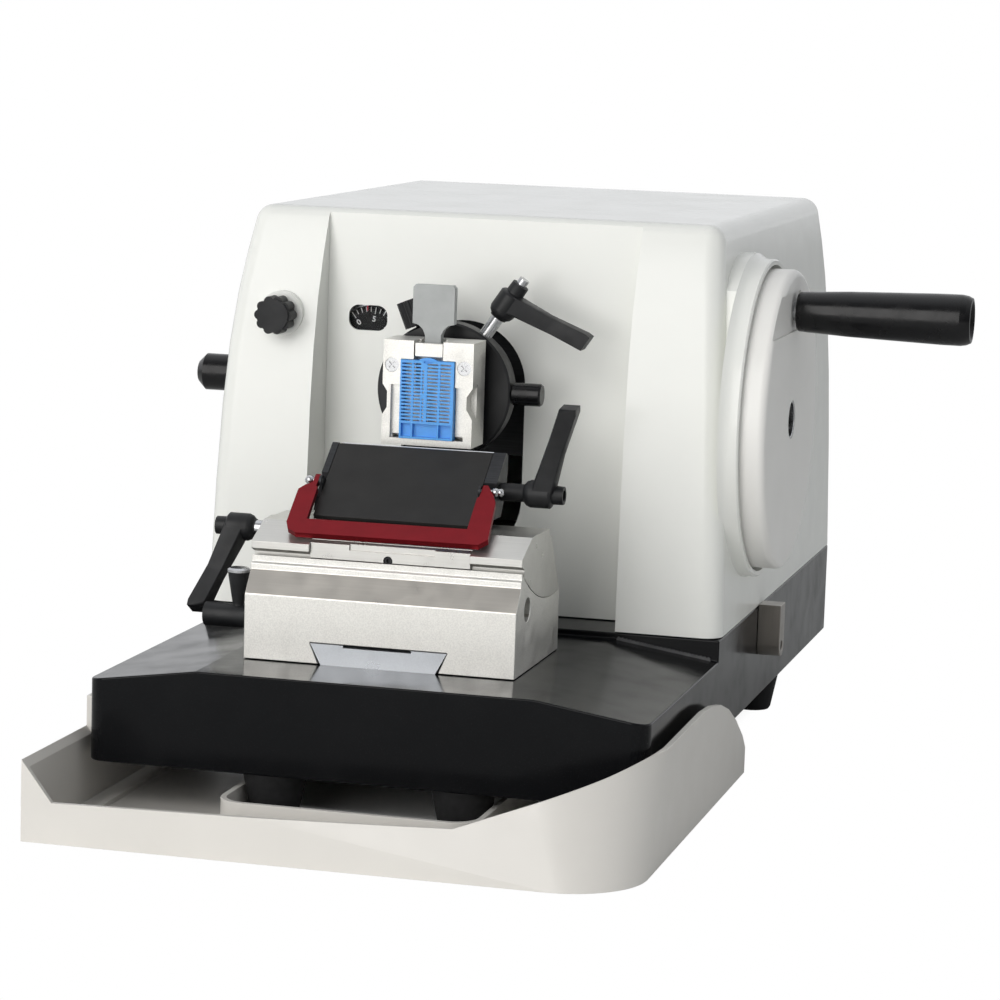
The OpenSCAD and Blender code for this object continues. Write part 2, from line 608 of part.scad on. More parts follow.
// ---------------------------------------------------------------- cassette clamp
module cassette_clamp() place() color(alu) translate([head_x, clamp_y, clamp_z]) difference() {
  translate([-clamp_w / 2, 0, -clamp_h / 2]) cube([clamp_w, clamp_d, clamp_h]);
  // seat of the cassette
  translate([-cassette_w / 2 - gap, -1, cass_z - clamp_z - cassette_h / 2 - gap]) cube([cassette_w + 2 * gap, cassette_t - 1.5 + gap + 1, cassette_h + 2 * gap]);
  // wider lower half of the seat, with a slot along its ledge
  translate([-clamp_w / 2 + 4.4, -1, -clamp_h / 2 + 3.5]) cube([clamp_w - 8.8, 3.6, 27.5]);
  translate([-clamp_w / 2 + 5.2, -1, -clamp_h / 2 + 3.5]) cube([clamp_w - 10.4, 12, 2]);
  // channel of the moving jaw
  translate([-jaw_w / 2 - gap, -1, clamp_h / 2 - 25]) cube([jaw_w + 2 * gap, 10.5, 30]);
  // thumb notches on both front edges
  for (s = [-1, 1]) along_y(-1, 8.5) polygon([[s * (clamp_w / 2 + 0.6), -13], [s * (clamp_w / 2 + 0.6), 5],
    [s * (clamp_w / 2 - 3.1), -0.5], [s * (clamp_w / 2 - 3.1), -7]]);
  // pocket of the release lever
  translate([-6.5, 3, clamp_h / 2 - 9]) cube([13, 13, 12]);
  translate([0, 12, clamp_h / 2 - 5]) rod_x(-12, 12, 2);
  // screw recesses
  for (s = [-1, 1]) translate([s * 19.2, -1, clamp_h / 2 - 13]) rod_y(0, 3.4, 3.7);
  // pin hole in the right side
  translate([0, 9.4, 4.5]) rod_x(clamp_w / 2 - 5, clamp_w / 2 + 1, 0.9);
}
module clamp_screws() place() color(steel) translate([head_x, clamp_y, clamp_z])
  for (s = [-1, 1]) translate([s * 19.2, 0.4, clamp_h / 2 - 13]) difference() {
    rod_y(0, 2, 3.6);
    for (a = [0, 90]) rotate([0, a + 45, 0]) translate([-2.2, -1, -0.4]) cube([4.4, 1.9, 0.8]);
  }
module clamp_jaw() place() color(alu) translate([head_x, clamp_y, clamp_z]) difference() {
  translate([-jaw_w / 2, 0.6, jaw_z0 - clamp_z]) cube([jaw_w, 8.6, clamp_z + clamp_h / 2 - 1 - jaw_z0]);
  translate([-6.5, 3, clamp_h / 2 - 9]) cube([13, 13, 12]);
}
module release_lever() place() color("#9b9ea0") translate([head_x, clamp_y + 12, clamp_z + clamp_h / 2 - 5]) {
  rod_x(-11.9, 11.9, 1.95);
  along_y(-4.6, 0.6) union() {
    polygon([[-4.3, -2.5], [4.3, -2.5], [4.3, 7.5], [5.6, 10.5], [8, 12.6], [11.1, 13.4], [11.1, 32],
      [9.8, 33.4], [-9.8, 33.4], [-11.1, 32], [-11.1, 13.4], [-8, 12.6], [-5.6, 10.5], [-4.3, 7.5]]);
  }
}
module cassette() place() color("#5ba8ea") translate([head_x, cass_y, cass_z]) difference() {
  union() {
    translate([-cassette_w / 2, 0, -cassette_h / 2]) cube([cassette_w, cassette_t, cassette_h]);
    // snap tongue of the lid
    translate([0, 1, cassette_h / 2 - 9]) rod_y(0, 1.6, 10.4);
  }
  // three bays under the grid, divided by two ribs
  for (b = [[1, 5.2], [7.1, 13], [21, 6.5]])
    translate([b[0] - cassette_w / 2, -1, -cassette_h / 2 + 1]) cube([b[1], 3.5, 6.8]);
  // chamber behind the lid
  translate([-cassette_w / 2 + 1.2, 1.2, -cassette_h / 2 + 8.6]) cube([cassette_w - 2.4, cassette_t + 2, cassette_h - 9.8]);
  // grid in the lid: four columns of slots and one of small holes
  for (i = [0 : 16], c = [[0.9, 5.1], [7.2, 3.7], [14.4, 5.6], [21.3, 5.4]])
    translate([c[0] - cassette_w / 2, -1, -cassette_h / 2 + 9.1 + i * 1.82]) cube([c[1], 3, 0.85]);
  for (i = [0 : 6]) for (z = [9.1, 23.7]) translate([11.7 - cassette_w / 2, -1, -cassette_h / 2 + z + i * 1.82]) cube([1, 3, 0.85]);
  translate([-1.8, -1, cassette_h / 2 - 1.3]) cube([4.6, 1.9, 1]);
}

// ---------------------------------------------------------------- head lever and orienting screws
lever_stand = 47.5;
module head_lever() place() color(black_matt) at_head(34) translate([0, 0, lever_stand]) lever_body(7);
module head_lever_stud() place() color(steel) at_head(34) {
  translate([0, 0, 26]) cylinder(r = 3.5, h = lever_stand - 26);
  translate([0, 0, lever_stand + lever_hub - 1.99]) cylinder(r = 2.8, h = 5.5);
}
module swivel_knob() place() color(black_gloss) at_head(90) {
  translate([0, 0, 26]) cylinder(r = 4, h = 14);
  translate([0, 0, flange_r + 0.6]) rotate_extrude() polygon([[0, 0], [5.9, 0], [5.9, 14], [5.2, 15], [0, 15]]);
}
module tilt_knob() place() color(black_matt) at_head(-22) {
  translate([0, 0, 26]) cylinder(r = 4, h = 14);
  translate([0, 0, flange_r + 0.6]) difference() {
    cylinder(r = 9.6, h = 14);
    for (i = [0 : 15]) rotate([0, 0, i * 22.5]) translate([10.2, 0, -1]) cylinder(r = 1.2, h = 20, $fn = 16);
  }
}

// ---------------------------------------------------------------- knife holder base
module holder_base() place() color(alu) difference() {
  along_x(holder_x0, holder_x1) polygon([[holder_y, deck_z + gap], [holder_back, deck_z + gap],
    [holder_back, deck_z + 56], [holder_y + 9.8, deck_z + 56], [holder_y + 9.8, deck_z + 47.9],
    [holder_y + 8.5, deck_z + 47], [holder_y + 8.5, deck_z + 44.2], [holder_y, deck_z + 33]]);
  // saddle in which the segment tilts
  translate([0, arc_y, arc_z]) rotate([0, 90, 0]) translate([0, 0, holder_x0 - 1]) cylinder(r = arc_r, h = holder_w + 2, $fn = 128);
  // dovetail groove
  along_y(holder_y - 1, holder_back + 1) polygon([
    [holder_x - rail_w / 2 + 5.6 - gap - 0.5, deck_z - 1], [holder_x + rail_w / 2 - 5.6 + gap + 0.5, deck_z - 1],
    [holder_x + rail_w / 2 + gap, deck_z + rail_h + gap], [holder_x - rail_w / 2 - gap, deck_z + rail_h + gap]]);
  // lever shaft on the left, spare bore on the right
  translate([0, base_lever_y, base_lever_z]) rod_x(holder_x0 - 1, holder_x0 + 14, 4 + run);
  translate([0, holder_y + 22, deck_z + 31.5]) rod_x(holder_x1 - 12, holder_x1 + 1, 6);
}
module base_lever() place() color(black_matt) translate([holder_x0, base_lever_y, base_lever_z]) {
  rod_x(-26, -4, 6);
  rotate([0, -90, 0]) translate([0, 0, 2]) cylinder(r1 = 4.5, r2 = 6, h = 2.01);
  rod_x(-3, 12, 4);
  translate([-9, 0, 0]) rotate_extrude() polygon([[0, 0], [3, 0], [3, 7], [5.6, 22.5], [0, 22.5]]);
}
module base_lever_cap() place() color(steel) translate([holder_x0 - 9, base_lever_y, base_lever_z + 22.5])
  rotate_extrude() polygon([[0, 0], [5.8, 0], [5.8, 1.2], [4.6, 2], [0, 2]]);

// ---------------------------------------------------------------- tilting segment
module blade_segment() place() color(alu) difference() {
  intersection() {
    along_x(holder_x0, holder_x1) polygon([[holder_y + 8.6, 100], [holder_back - 1.2, 100], [holder_back - 1.2, deck_z + 32.7],
      [holder_y + 67.8, deck_z + 61.7], [holder_y + 63.6, deck_z + 63.4], [holder_y + 63.6, deck_z + 66],
      [holder_y + 39, deck_z + 66.4], [holder_y + 39, deck_z + 67], [holder_y + 28, deck_z + 66.5],
      [holder_y + 8.6, deck_z + 58.2], [holder_y + 8.6, deck_z + 54.6], [holder_y + 14, deck_z + 52.5],
      [holder_y + 14, 100]]);
    translate([0, arc_y, arc_z]) rotate([0, 90, 0]) translate([0, 0, holder_x0 - 1]) cylinder(r = arc_r - gap, h = holder_w + 2, $fn = 128);
  }
  // pocket of the front plate
  translate([blade_x + 6 - 41.2, 0, deck_z + 40]) cube([82.4, holder_y + 14.2, 40]);
  translate([0, seg_lever_y, seg_lever_z]) rod_x(holder_x0 - 1, holder_x0 + 16, 4 + run);
}
module front_plate() place() color(alu) difference() {
  along_x(blade_x + 6 - 41, blade_x + 6 + 41) polygon([[holder_y + 11, deck_z + 51.4], [holder_y + 14, deck_z + 49.9],
    [holder_y + 14, deck_z + 60.2], [holder_y + 11, deck_z + 59]]);
  translate([blade_x + 5, 0, deck_z + 52.4]) rod_y(holder_y + 10, holder_y + 20, 2.3);
  // shallow relief along the upper edge
  translate([blade_x - 15, holder_y + 10, deck_z + 56.4]) cube([44, 2.4, 3]);
}
module segment_shaft() place() color(steel) translate([0, seg_lever_y, seg_lever_z])
  rod_x(holder_x0 - 11, holder_x0 + 15, 4);
module segment_lever() place() color(black_matt) translate([holder_x0 - 11, seg_lever_y, seg_lever_z])
  rotate([-30, 0, 0]) rotate([0, -90, 0]) rotate([0, 0, 180]) lever_body(12);

// ---------------------------------------------------------------- blade carriage
pivot_s = -34;       // guard pivot, measured down the slope from the edge
pivot_n = 5.8;       // and out from the blade's face
module blade_carriage() place() color(alu) difference() {
  along_x(plate_x0 + 1, plate_x1 - 1) polygon([[holder_y + 40.5, deck_z + 66.4 + gap + 0.4], [holder_y + 62, deck_z + 66.4 + gap + 0.4],
    [edge_y - 2.5, edge_z - 26], [edge_y - 0.4, edge_z - 10], [edge_y - 0.4, edge_z - 1.1],
    [holder_y + 40.5, edge_z - 1.1 - (edge_y - 0.4 - holder_y - 40.5) * tan(plate_lean)]]);
  translate([0, cam_y, cam_z]) rod_x(plate_x0 - 1, plate_x1 + 1, 3 + run);
  // everything in front of the blade's bed
  at_edge() translate([-100, -70, -0.35]) cube([200, 80, 40]);
}
module carriage_cheeks() place() color("#3a3b3d") difference() {
  union() {
    for (x = [[plate_x0 - 3.6, plate_x0 + 0.98], [plate_x1 - 0.98, plate_x1 + 6.8]])
      along_x(x[0], x[1]) polygon([[holder_y + 44, deck_z + 70], [holder_y + 66, deck_z + 70], [edge_y - 4, edge_z - 20],
        [edge_y - 0.6, edge_z - 9], [edge_y - 0.6, edge_z - 0.8], [edge_y - 31, edge_z - 0.8 - 30.4 * tan(plate_lean)]]);
    // upper guides beside the pressure plate and ears of the guard pivot
    for (x = [[plate_x0 - 3.6, plate_x0 - 0.2], [plate_x1 + 0.2, plate_x1 + 6.8]])
      at_edge() along_x(x[0], x[1]) polygon([[-27, -1], [-2, -1], [-2, 2], [-3, 3], [-25, 3]]);
    for (x = [[plate_x0 - 1.4, plate_x0 - 0.15], [plate_x1 + 0.15, plate_x1 + 1.4]])
      at_edge() along_x(x[0], x[1]) union() {
        polygon([[pivot_s - 6, -4], [pivot_s + 8, -4], [pivot_s + 2.8, pivot_n], [pivot_s - 2.8, pivot_n]]);
        translate([pivot_s, pivot_n]) circle(r = 2.9);
      }
  }
  translate([0, cam_y, cam_z]) rod_x(plate_x0 - 10, plate_x1 + 10, 3 + run);
  at_edge() translate([0, pivot_s, pivot_n]) rod_x(plate_x0 - 10, plate_x1 + 10, 1.2 + run);
  // slit through which the blade is slid in, and the bed of the plate
  at_edge() translate([plate_x0 - 10, -8.6, -0.35]) cube([plate_w + 10, 10, 0.7]);
  at_edge() translate([plate_x0 - 0.1, -80, -0.35]) cube([plate_w + 0.2, 90, 20]);
}
module cam_rod() place() color(steel) translate([0, cam_y, cam_z]) rod_x(plate_x0 - 4.6, plate_x1 + 7.1, 3);
module blade_lever() place() color(black_matt) translate([plate_x1 + 18.6, cam_y, cam_z])
  rotate([8, 0, 0]) rotate([0, 90, 0]) rotate([0, 0, 180]) lever_body(13, 11.5);
module blade() place() color("#d5d7da") at_edge() difference() {
  translate([plate_x0 + 0.75, -8, -0.13]) cube([blade_l, 8, 0.26]);
  // ground facet
  translate([0, 0, 0.13]) rotate([-17, 0, 0]) translate([-60, -0.4, 0]) cube([120, 4, 2]);
}
module pressure_plate() place() color("#2b2c2e") at_edge() difference() {
  translate([plate_x0, -1.2 - plate_l, 0.3]) cube([plate_w, plate_l, plate_t - 0.3]);
  // bevelled top edge
  translate([plate_x0 - 1, -1.2, 0.9]) rotate([50, 0, 0]) cube([plate_w + 2, 6, 6]);
}
module at_pivot() { at_edge() translate([0, pivot_s, pivot_n]) rotate([guard_lean - plate_lean, 0, 0]) children(); }
module finger_guard() place() color(red_anod) at_pivot() difference() {
  translate([0, 0, -1.5]) linear_extrude(3) polygon([
    [plate_x0 - 10.2, -9.4], [plate_x0 - 8.8, -35.6], [plate_x0 - 6.8, -40.4], [plate_x0 - 2, -43.4], [plate_x1 + 10.2, -43],
    [plate_x1 + 14.2, -38.6], [plate_x1 + 11, -9.6], [plate_x1 + 8.8, -4.6], [plate_x1 + 4.2, 3.2], [plate_x1 + 1.8, 3.2], [plate_x1 + 1.8, -6],
    [plate_x1 + 0.9, -7], [plate_x1 + 1.9, -31.6], [plate_x0 + 0.9, -32.2], [plate_x0 - 0.7, -7],
    [plate_x0 - 1.8, -6], [plate_x0 - 1.8, 3.2], [plate_x0 - 4.4, 3.2], [plate_x0 - 4.4, -3.4], [plate_x0 - 7.4, -5.6]]);
  rod_x(plate_x0 - 20, plate_x1 + 20, 1.2);
}
module guard_screws() place() color(steel) at_pivot() {
  rod_x(plate_x0 - 7.6, plate_x0 - 0.1, 1.2);
  rod_x(plate_x1 + 0.1, plate_x1 + 9.5, 1.2);
  translate([plate_x0 - 7, 0, 0]) sphere(r = 2.4);
  translate([plate_x1 + 8.7, 0, 0]) sphere(r = 2.2);
  translate([plate_x1 + 11.2, 0, 0]) sphere(r = 2);
}

// ---------------------------------------------------------------- waste tray
module tray_form(t) {
  x = tray_w / 2 - t;
  y = -tray_front + t;
  yb = tray_back + (t > 0 ? 1 : 0);
  hull() {
    translate([0, 0, t]) linear_extrude(0.2) union() {
      translate([-x, y]) square([2, 2]);
      translate([-x, yb - 2]) square([2 * x, 2]);
      translate([x - 40 + t, y + 40 - t]) circle(r = 40 - t, $fn = 64);
    }
    translate([0, 0, wing_h + 2 + t]) linear_extrude(0.2) union() {
      translate([-x, y + 7]) square([2, 2]);
      translate([-x + 46, y + 24]) square([2, 2]);
      translate([-x, yb - 2]) square([2 * x, 2]);
      translate([x - 64 + t, y + 24 + 64 - t]) circle(r = 64 - t, $fn = 64);
    }
    translate([-x, y, t]) cube([1, 1, 39]);
  }
}
module waste_tray() place() color(white_warm) {
  difference() {
    tray_form(0);
    tray_form(tray_wall);
    // sweep of the side wings, falling to the rear
    along_x(-tray_w, tray_w) polygon([[-tray_front - 5, wing_h - 19], [-tray_front, wing_h - 15], [-tray_front + 3, wing_h - 8.5],
      [-tray_front + 12, wing_h - 5.5], [-tray_front + 30, wing_h - 4], [-tray_front + 82, wing_h - 3], [tray_back - 120, wing_h - 2], [tray_back - 96, wing_h - 3.5],
      [tray_back - 74, wing_h - 7], [tray_back - 52, wing_h - 13.5], [tray_back - 30, wing_h - 23.5], [tray_back - 9, wing_h - 36],
      [tray_back + 1, wing_h - 45], [tray_back + 10, 100], [-tray_front - 5, 100]]);
    // low front lip, rising into the right-hand corner
    along_y(-tray_front - 5, 20) polygon([[-tray_w / 2 - 5, 100], [-tray_w / 2 - 5, 46], [-tray_w / 2, 40], [-tray_w / 2 + 15.5, lip_h],
      [tray_w / 2 - 86, lip_h + 4], [tray_w / 2 - 20, lip_h + 28], [tray_w / 2 - 3, lip_h + 35], [tray_w / 2, 100]]);
    // clearance for the front feet, open to the rear
    translate([0, 0, -1]) linear_extrude(100) rounded_rect(-front_foot_x - foot_side, front_foot_y - foot_r - 28,
      front_foot_x + foot_side, tray_back + 40, 12);
  }
  // raised rim round that clearance
  difference() {
    linear_extrude(lip_h - 1) rounded_rect(-front_foot_x - foot_side - 3, front_foot_y - foot_r - 31,
      front_foot_x + foot_side + 3, tray_back, 15);
    translate([0, 0, -1]) linear_extrude(lip_h + 2) rounded_rect(-front_foot_x - foot_side, front_foot_y - foot_r - 28,
      front_foot_x + foot_side, tray_back + 40, 12);
  }
  // runner along the left side
  translate([-tray_w / 2 + 14, -tray_front + 22, tray_wall - eps]) cube([3, tray_back + tray_front - 26, 2.5]);
}

// ---------------------------------------------------------------- knobs and dial
module thickness_knob() place() color(black_matt) translate([knob_x, 0, knob_z]) {
  difference() {
    rotate([-90, 0, 0]) translate([0, 0, knob_y]) union() {
      cylinder(r = knob_r - 1.6, h = 12);
      for (i = [0 : 9]) rotate([0, 0, i * 36]) translate([knob_r - 2.6, 0, 1]) cylinder(r = 2.6, h = 10, $fn = 20);
      translate([0, 0, 11]) cylinder(r1 = knob_r - 2.5, r2 = 6, h = 3);
    }
  }
  rod_y(knob_y + 10, panel_y + 14, 3);
}
module thickness_dial() place() color("#101113") translate([dial_x, 0, dial_z]) difference() {
  rod_y(panel_y + 5.6, panel_y + 8.6, dial_r);
  rod_y(panel_y, panel_y + 20, 2.5 + run);
}
module coarse_knob() place() color(black_gloss) translate([0, coarse_y, coarse_z]) {
  rod_x(-bx - 6, -bx + 10, 4);
  rotate([0, -90, 0]) translate([0, 0, bx + 5]) rotate_extrude()
    polygon([[0, 0], [coarse_r, 0], [coarse_r, 16], [coarse_r - 4, 20], [0, 20]]);
}

base_casting();
foot_front_left();
foot_front_right();
foot_rear_left();
foot_rear_right();
side_lug();
cover_gasket();
cover_edge_seal();
cover();
dial_lens();
dial_bracket();
bearing_stand();
guide_columns();
coarse_bush();
dovetail_rail();
handwheel();
drive_shaft();
hub_screw();
handle_spindle();
handle_grip();
slide_block();
feed_cylinder();
ball_housing();
gimbal_ring();
head_ball();
cassette_clamp();
clamp_screws();
clamp_jaw();
release_lever();
cassette();
head_lever();
head_lever_stud();
swivel_knob();
tilt_knob();
holder_base();
base_lever();
base_lever_cap();
blade_segment();
front_plate();
segment_lever();
segment_shaft();
blade_carriage();
carriage_cheeks();
blade();
pressure_plate();
blade_lever();
cam_rod();
finger_guard();
guard_screws();
waste_tray();
thickness_knob();
thickness_dial();
coarse_knob();
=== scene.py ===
"""Looks of a rotary microtome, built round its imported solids.

Laid out as a Blender add-on and run as a script. Sizes are in millimetres
unless a name says otherwise, and Blender's own unit is the metre.
"""

import json
import math

import bmesh
import bpy
from mathutils import Matrix, Vector


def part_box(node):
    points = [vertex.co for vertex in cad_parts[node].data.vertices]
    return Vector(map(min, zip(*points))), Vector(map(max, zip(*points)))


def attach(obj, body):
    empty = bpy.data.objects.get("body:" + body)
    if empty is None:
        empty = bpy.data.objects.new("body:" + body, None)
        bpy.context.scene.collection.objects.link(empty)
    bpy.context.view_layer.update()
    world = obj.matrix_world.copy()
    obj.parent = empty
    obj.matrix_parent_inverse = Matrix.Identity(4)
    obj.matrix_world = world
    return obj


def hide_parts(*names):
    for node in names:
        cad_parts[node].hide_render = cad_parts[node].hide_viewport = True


bl_info = {
    "name": "Rotary microtome",
    "version": (1, 0, 0),
    "blender": (4, 5, 0),
    "location": "3D View > Sidebar > Microtome",
    "description": "Dresses the solids of a rotary microtome with its real finishes",
    "category": "Object",
}

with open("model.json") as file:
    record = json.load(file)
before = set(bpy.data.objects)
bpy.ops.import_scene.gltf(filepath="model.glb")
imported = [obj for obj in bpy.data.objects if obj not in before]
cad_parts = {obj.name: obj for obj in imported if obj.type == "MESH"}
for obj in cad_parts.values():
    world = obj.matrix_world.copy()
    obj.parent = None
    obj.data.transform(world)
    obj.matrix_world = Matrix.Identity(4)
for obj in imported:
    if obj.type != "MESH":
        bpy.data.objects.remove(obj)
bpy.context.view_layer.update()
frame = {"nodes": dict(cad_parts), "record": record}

MM = 0.001
WHITE = (1, 1, 1, 1)
# the thickness scale runs from 0 to LAST_UNIT, with a number every few units
LAST_UNIT = 25
NUMBERED_EVERY = 5
BODY_OF = {
    node: body
    for body, nodes in frame["record"]["behaviour"]["bodies"].items()
    for node in nodes
}


def srgb(text):
    """Turns a hex colour as seen on a screen into Blender's linear values."""
    channels = [int(text[i : i + 2], 16) / 255 for i in (1, 3, 5)]
    return tuple(c / 12.92 if c <= 0.04045 else ((c + 0.055) / 1.055) ** 2.4 for c in channels)


def shade(colour, factor):
    """The same colour, darker by a factor."""
    return tuple(c * factor for c in colour)


def low(node):
    """Lowest corner of a node, in millimetres."""
    return Vector(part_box(node)[0]) / MM


def high(node):
    """Highest corner of a node, in millimetres."""
    return Vector(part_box(node)[1]) / MM


# ---------------------------------------------------------------- settings
class MicrotomeColours(bpy.types.PropertyGroup):
    """Colours of the visible finishes."""

    cover: bpy.props.FloatVectorProperty(
        name="Cover",
        description="Gloss moulding of the cover",
        subtype="COLOR",
        default=srgb("#EEEFEA"),
        min=0,
        max=1,
    )
    wheel: bpy.props.FloatVectorProperty(
        name="Handwheel",
        description="Satin moulding of the handwheel",
        subtype="COLOR",
        default=srgb("#F0EFEB"),
        min=0,
        max=1,
    )
    tray: bpy.props.FloatVectorProperty(
        name="Waste tray",
        description="Satin moulding of the tray",
        subtype="COLOR",
        default=srgb("#DCD9D3"),
        min=0,
        max=1,
    )
    enamel: bpy.props.FloatVectorProperty(
        name="Base enamel",
        description="Black stove enamel of the casting",
        subtype="COLOR",
        default=srgb("#0D0E10"),
        min=0,
        max=1,
    )
    guard: bpy.props.FloatVectorProperty(
        name="Finger guard",
        description="Red dye of the anodised guard",
        subtype="COLOR",
        default=srgb("#7E101B"),
        min=0,
        max=1,
    )
    cassette: bpy.props.FloatVectorProperty(
        name="Cassette",
        description="Acetal of the tissue cassette",
        subtype="COLOR",
        default=srgb("#55A5EE"),
        min=0,
        max=1,
    )


class MicrotomeSizes(bpy.types.PropertyGroup):
    """Sizes of the softened edges and of the printed scale."""

    cover_edge: bpy.props.FloatProperty(
        name="Cover edges",
        description="Radius of the moulded edges of the cover",
        subtype="DISTANCE",
        default=2.2 * MM,
        min=0,
    )
    casting_edge: bpy.props.FloatProperty(
        name="Casting edges",
        description="Radius of the enamelled edges of the base",
        subtype="DISTANCE",
        default=1.6 * MM,
        min=0,
    )
    wheel_edge: bpy.props.FloatProperty(
        name="Handwheel edges",
        description="Radius of the moulded edges of the handwheel and the release lever",
        subtype="DISTANCE",
        default=1.2 * MM,
        min=0,
    )
    tray_edge: bpy.props.FloatProperty(
        name="Tray edges",
        description="Radius of the moulded edges of the waste tray",
        subtype="DISTANCE",
        default=1.0 * MM,
        min=0,
    )
    lever_edge: bpy.props.FloatProperty(
        name="Lever edges",
        description="Radius of the moulded lever edges",
        subtype="DISTANCE",
        default=1.1 * MM,
        min=0,
    )
    painted_edge: bpy.props.FloatProperty(
        name="Painted edges",
        description="Radius of the edges of the ball housing and the finger guard",
        subtype="DISTANCE",
        default=0.6 * MM,
        min=0,
    )
    plate_edge: bpy.props.FloatProperty(
        name="Pressure plate edges",
        description="Radius of the edges of the pressure plate",
        subtype="DISTANCE",
        default=0.5 * MM,
        min=0,
    )
    cheek_edge: bpy.props.FloatProperty(
        name="Cheek edges",
        description="Radius of the edges of the carriage's cheeks",
        subtype="DISTANCE",
        default=0.4 * MM,
        min=0,
    )
    milled_edge: bpy.props.FloatProperty(
        name="Milled edges",
        description="Broken edge of the aluminium pieces",
        subtype="DISTANCE",
        default=0.35 * MM,
        min=0,
    )
    scale_step: bpy.props.FloatProperty(
        name="Scale step",
        description="Angle of the dial for one unit",
        subtype="ANGLE",
        default=math.radians(9.3),
    )
    scale_reading: bpy.props.FloatProperty(
        name="Scale reading",
        description="Unit that stands under the index",
        default=4.0,
        min=0,
        max=LAST_UNIT,
    )


# ---------------------------------------------------------------- materials
def add_node(tree, kind, inputs=None, **settings):
    """Adds one node, sets it and links the inputs that are sockets."""
    node = tree.nodes.new(kind)
    for name, value in settings.items():
        setattr(node, name, value)
    for name, value in (inputs or {}).items():
        if isinstance(value, bpy.types.NodeSocket):
            tree.links.new(value, node.inputs[name])
        else:
            node.inputs[name].default_value = value
    return node


class Finish:
    """A material in the making, and the patterns that are laid on its main shader.

    A pattern's size is the width of its cells in millimetres. Its detail adds
    finer cells, and its stretch makes the cells longer along an axis.
    """

    # most of the noise lies between these two values
    usual_low, usual_high = 0.3, 0.7

    def __init__(self, name, colour, **constants):
        self.material = bpy.data.materials.new(name)
        self.material.use_nodes = True
        self.material.diffuse_color = (*colour, 1)
        self.tree = self.material.node_tree
        self.shader = self.tree.nodes["Principled BSDF"]
        self.shader.inputs["Base Color"].default_value = (*colour, 1)
        for socket, value in constants.items():
            title = socket.replace("_", " ").title().replace("Ior", "IOR")
            self.shader.inputs[title].default_value = value
        self.place = add_node(self.tree, "ShaderNodeTexCoord").outputs["Object"]

    def grain(self, size, detail=2.0, stretch=(1, 1, 1)):
        """The pattern that the others start from, at its real size."""
        shrink = tuple(1 / s for s in stretch)
        scaled = add_node(self.tree, "ShaderNodeMapping", {"Vector": self.place, "Scale": shrink})
        cells = {"Vector": scaled.outputs[0], "Scale": 1 / (size * MM), "Detail": detail}
        return add_node(self.tree, "ShaderNodeTexNoise", cells).outputs["Fac"]

    def drift(self, size, start, end, low_value, high_value, **pattern):
        """A value that wanders between two limits over the pattern's start and end."""
        limits = {"From Min": start, "From Max": end, "To Min": low_value, "To Max": high_value}
        grain = self.grain(size, **pattern)
        return add_node(self.tree, "ShaderNodeMapRange", {"Value": grain, **limits}).outputs[0]

    def relief(self, size, depth, **pattern):
        """Bumps of a depth in millimetres, laid over those already there."""
        normal = self.shader.inputs["Normal"]
        inputs = {"Height": self.grain(size, **pattern), "Distance": depth * MM, "Strength": 1.0}
        if normal.is_linked:
            inputs["Normal"] = normal.links[0].from_socket
        self.tree.links.new(add_node(self.tree, "ShaderNodeBump", inputs).outputs[0], normal)

    def mottle(self, size, dark, light, start=usual_low, end=usual_high, **pattern):
        """Colour that drifts between two shades."""
        share = self.drift(size, start, end, 0, 1, **pattern)
        mix = add_node(self.tree, "ShaderNodeMix", {"Factor": share}, data_type="RGBA")
        # the colour sockets share their names with the mix's other sockets, so they go by number
        mix.inputs[6].default_value = (*dark, 1)
        mix.inputs[7].default_value = (*light, 1)
        self.tree.links.new(mix.outputs[2], self.shader.inputs["Base Color"])

    def gloss(self, size, smooth, rough, **pattern):
        """Roughness that drifts between two values."""
        value = self.drift(size, self.usual_low, self.usual_high, smooth, rough, **pattern)
        self.tree.links.new(value, self.shader.inputs["Roughness"])


def gloss_abs(colours):
    """ABS, vacuum-cast and sprayed gloss: long soft ripples bend its reflections."""
    finish = Finish("abs_gloss_lacquered", colours.cover, roughness=0.18, ior=1.5, specular_ior_level=0.4)
    # lacquer ripples 9 mm apart, over a slow drift of colour 60 mm wide
    finish.relief(9, 0.012)
    finish.mottle(60, shade(colours.cover, 0.985), colours.cover)
    finish.gloss(25, 0.16, 0.22)
    return finish.material


def satin_abs(name, colour):
    """ABS, moulded satin: fine spark-eroded texture and a faint flow shading."""
    finish = Finish(name, colour, roughness=0.36, ior=1.5)
    # spark-eroded grain is 0.3 mm and is drawn at 0.8 mm so that it shows
    finish.relief(0.8, 0.01)
    finish.mottle(45, shade(colour, 0.97), colour)
    finish.gloss(18, 0.32, 0.42)
    return finish.material


def stove_enamel(colours):
    """Cast iron under stove enamel: deep black gloss with orange peel and fine dust."""
    finish = Finish("cast_iron_stove_enamelled", colours.enamel, roughness=0.14, specular_ior_level=0.14)
    # orange peel 3 mm across, on the uneven skin of the casting 30 mm across
    finish.relief(30, 0.06)
    finish.relief(3, 0.008)
    # only the peaks of the finest pattern show as dust
    finish.mottle(0.9, colours.enamel, srgb("#1B1C1E"), start=0.55, end=0.8, detail=6)
    finish.gloss(22, 0.1, 0.24, detail=4)
    return finish.material


def moulded_rubber(name="rubber_moulded", dark="#131314", bloom="#1F1F20"):
    """Nitrile rubber, moulded: dull grey-black with a powdery bloom."""
    finish = Finish(name, srgb(dark), roughness=0.75, specular_ior_level=0.3)
    finish.relief(0.7, 0.03)
    finish.mottle(6, srgb(dark), srgb(bloom), detail=4)
    return finish.material


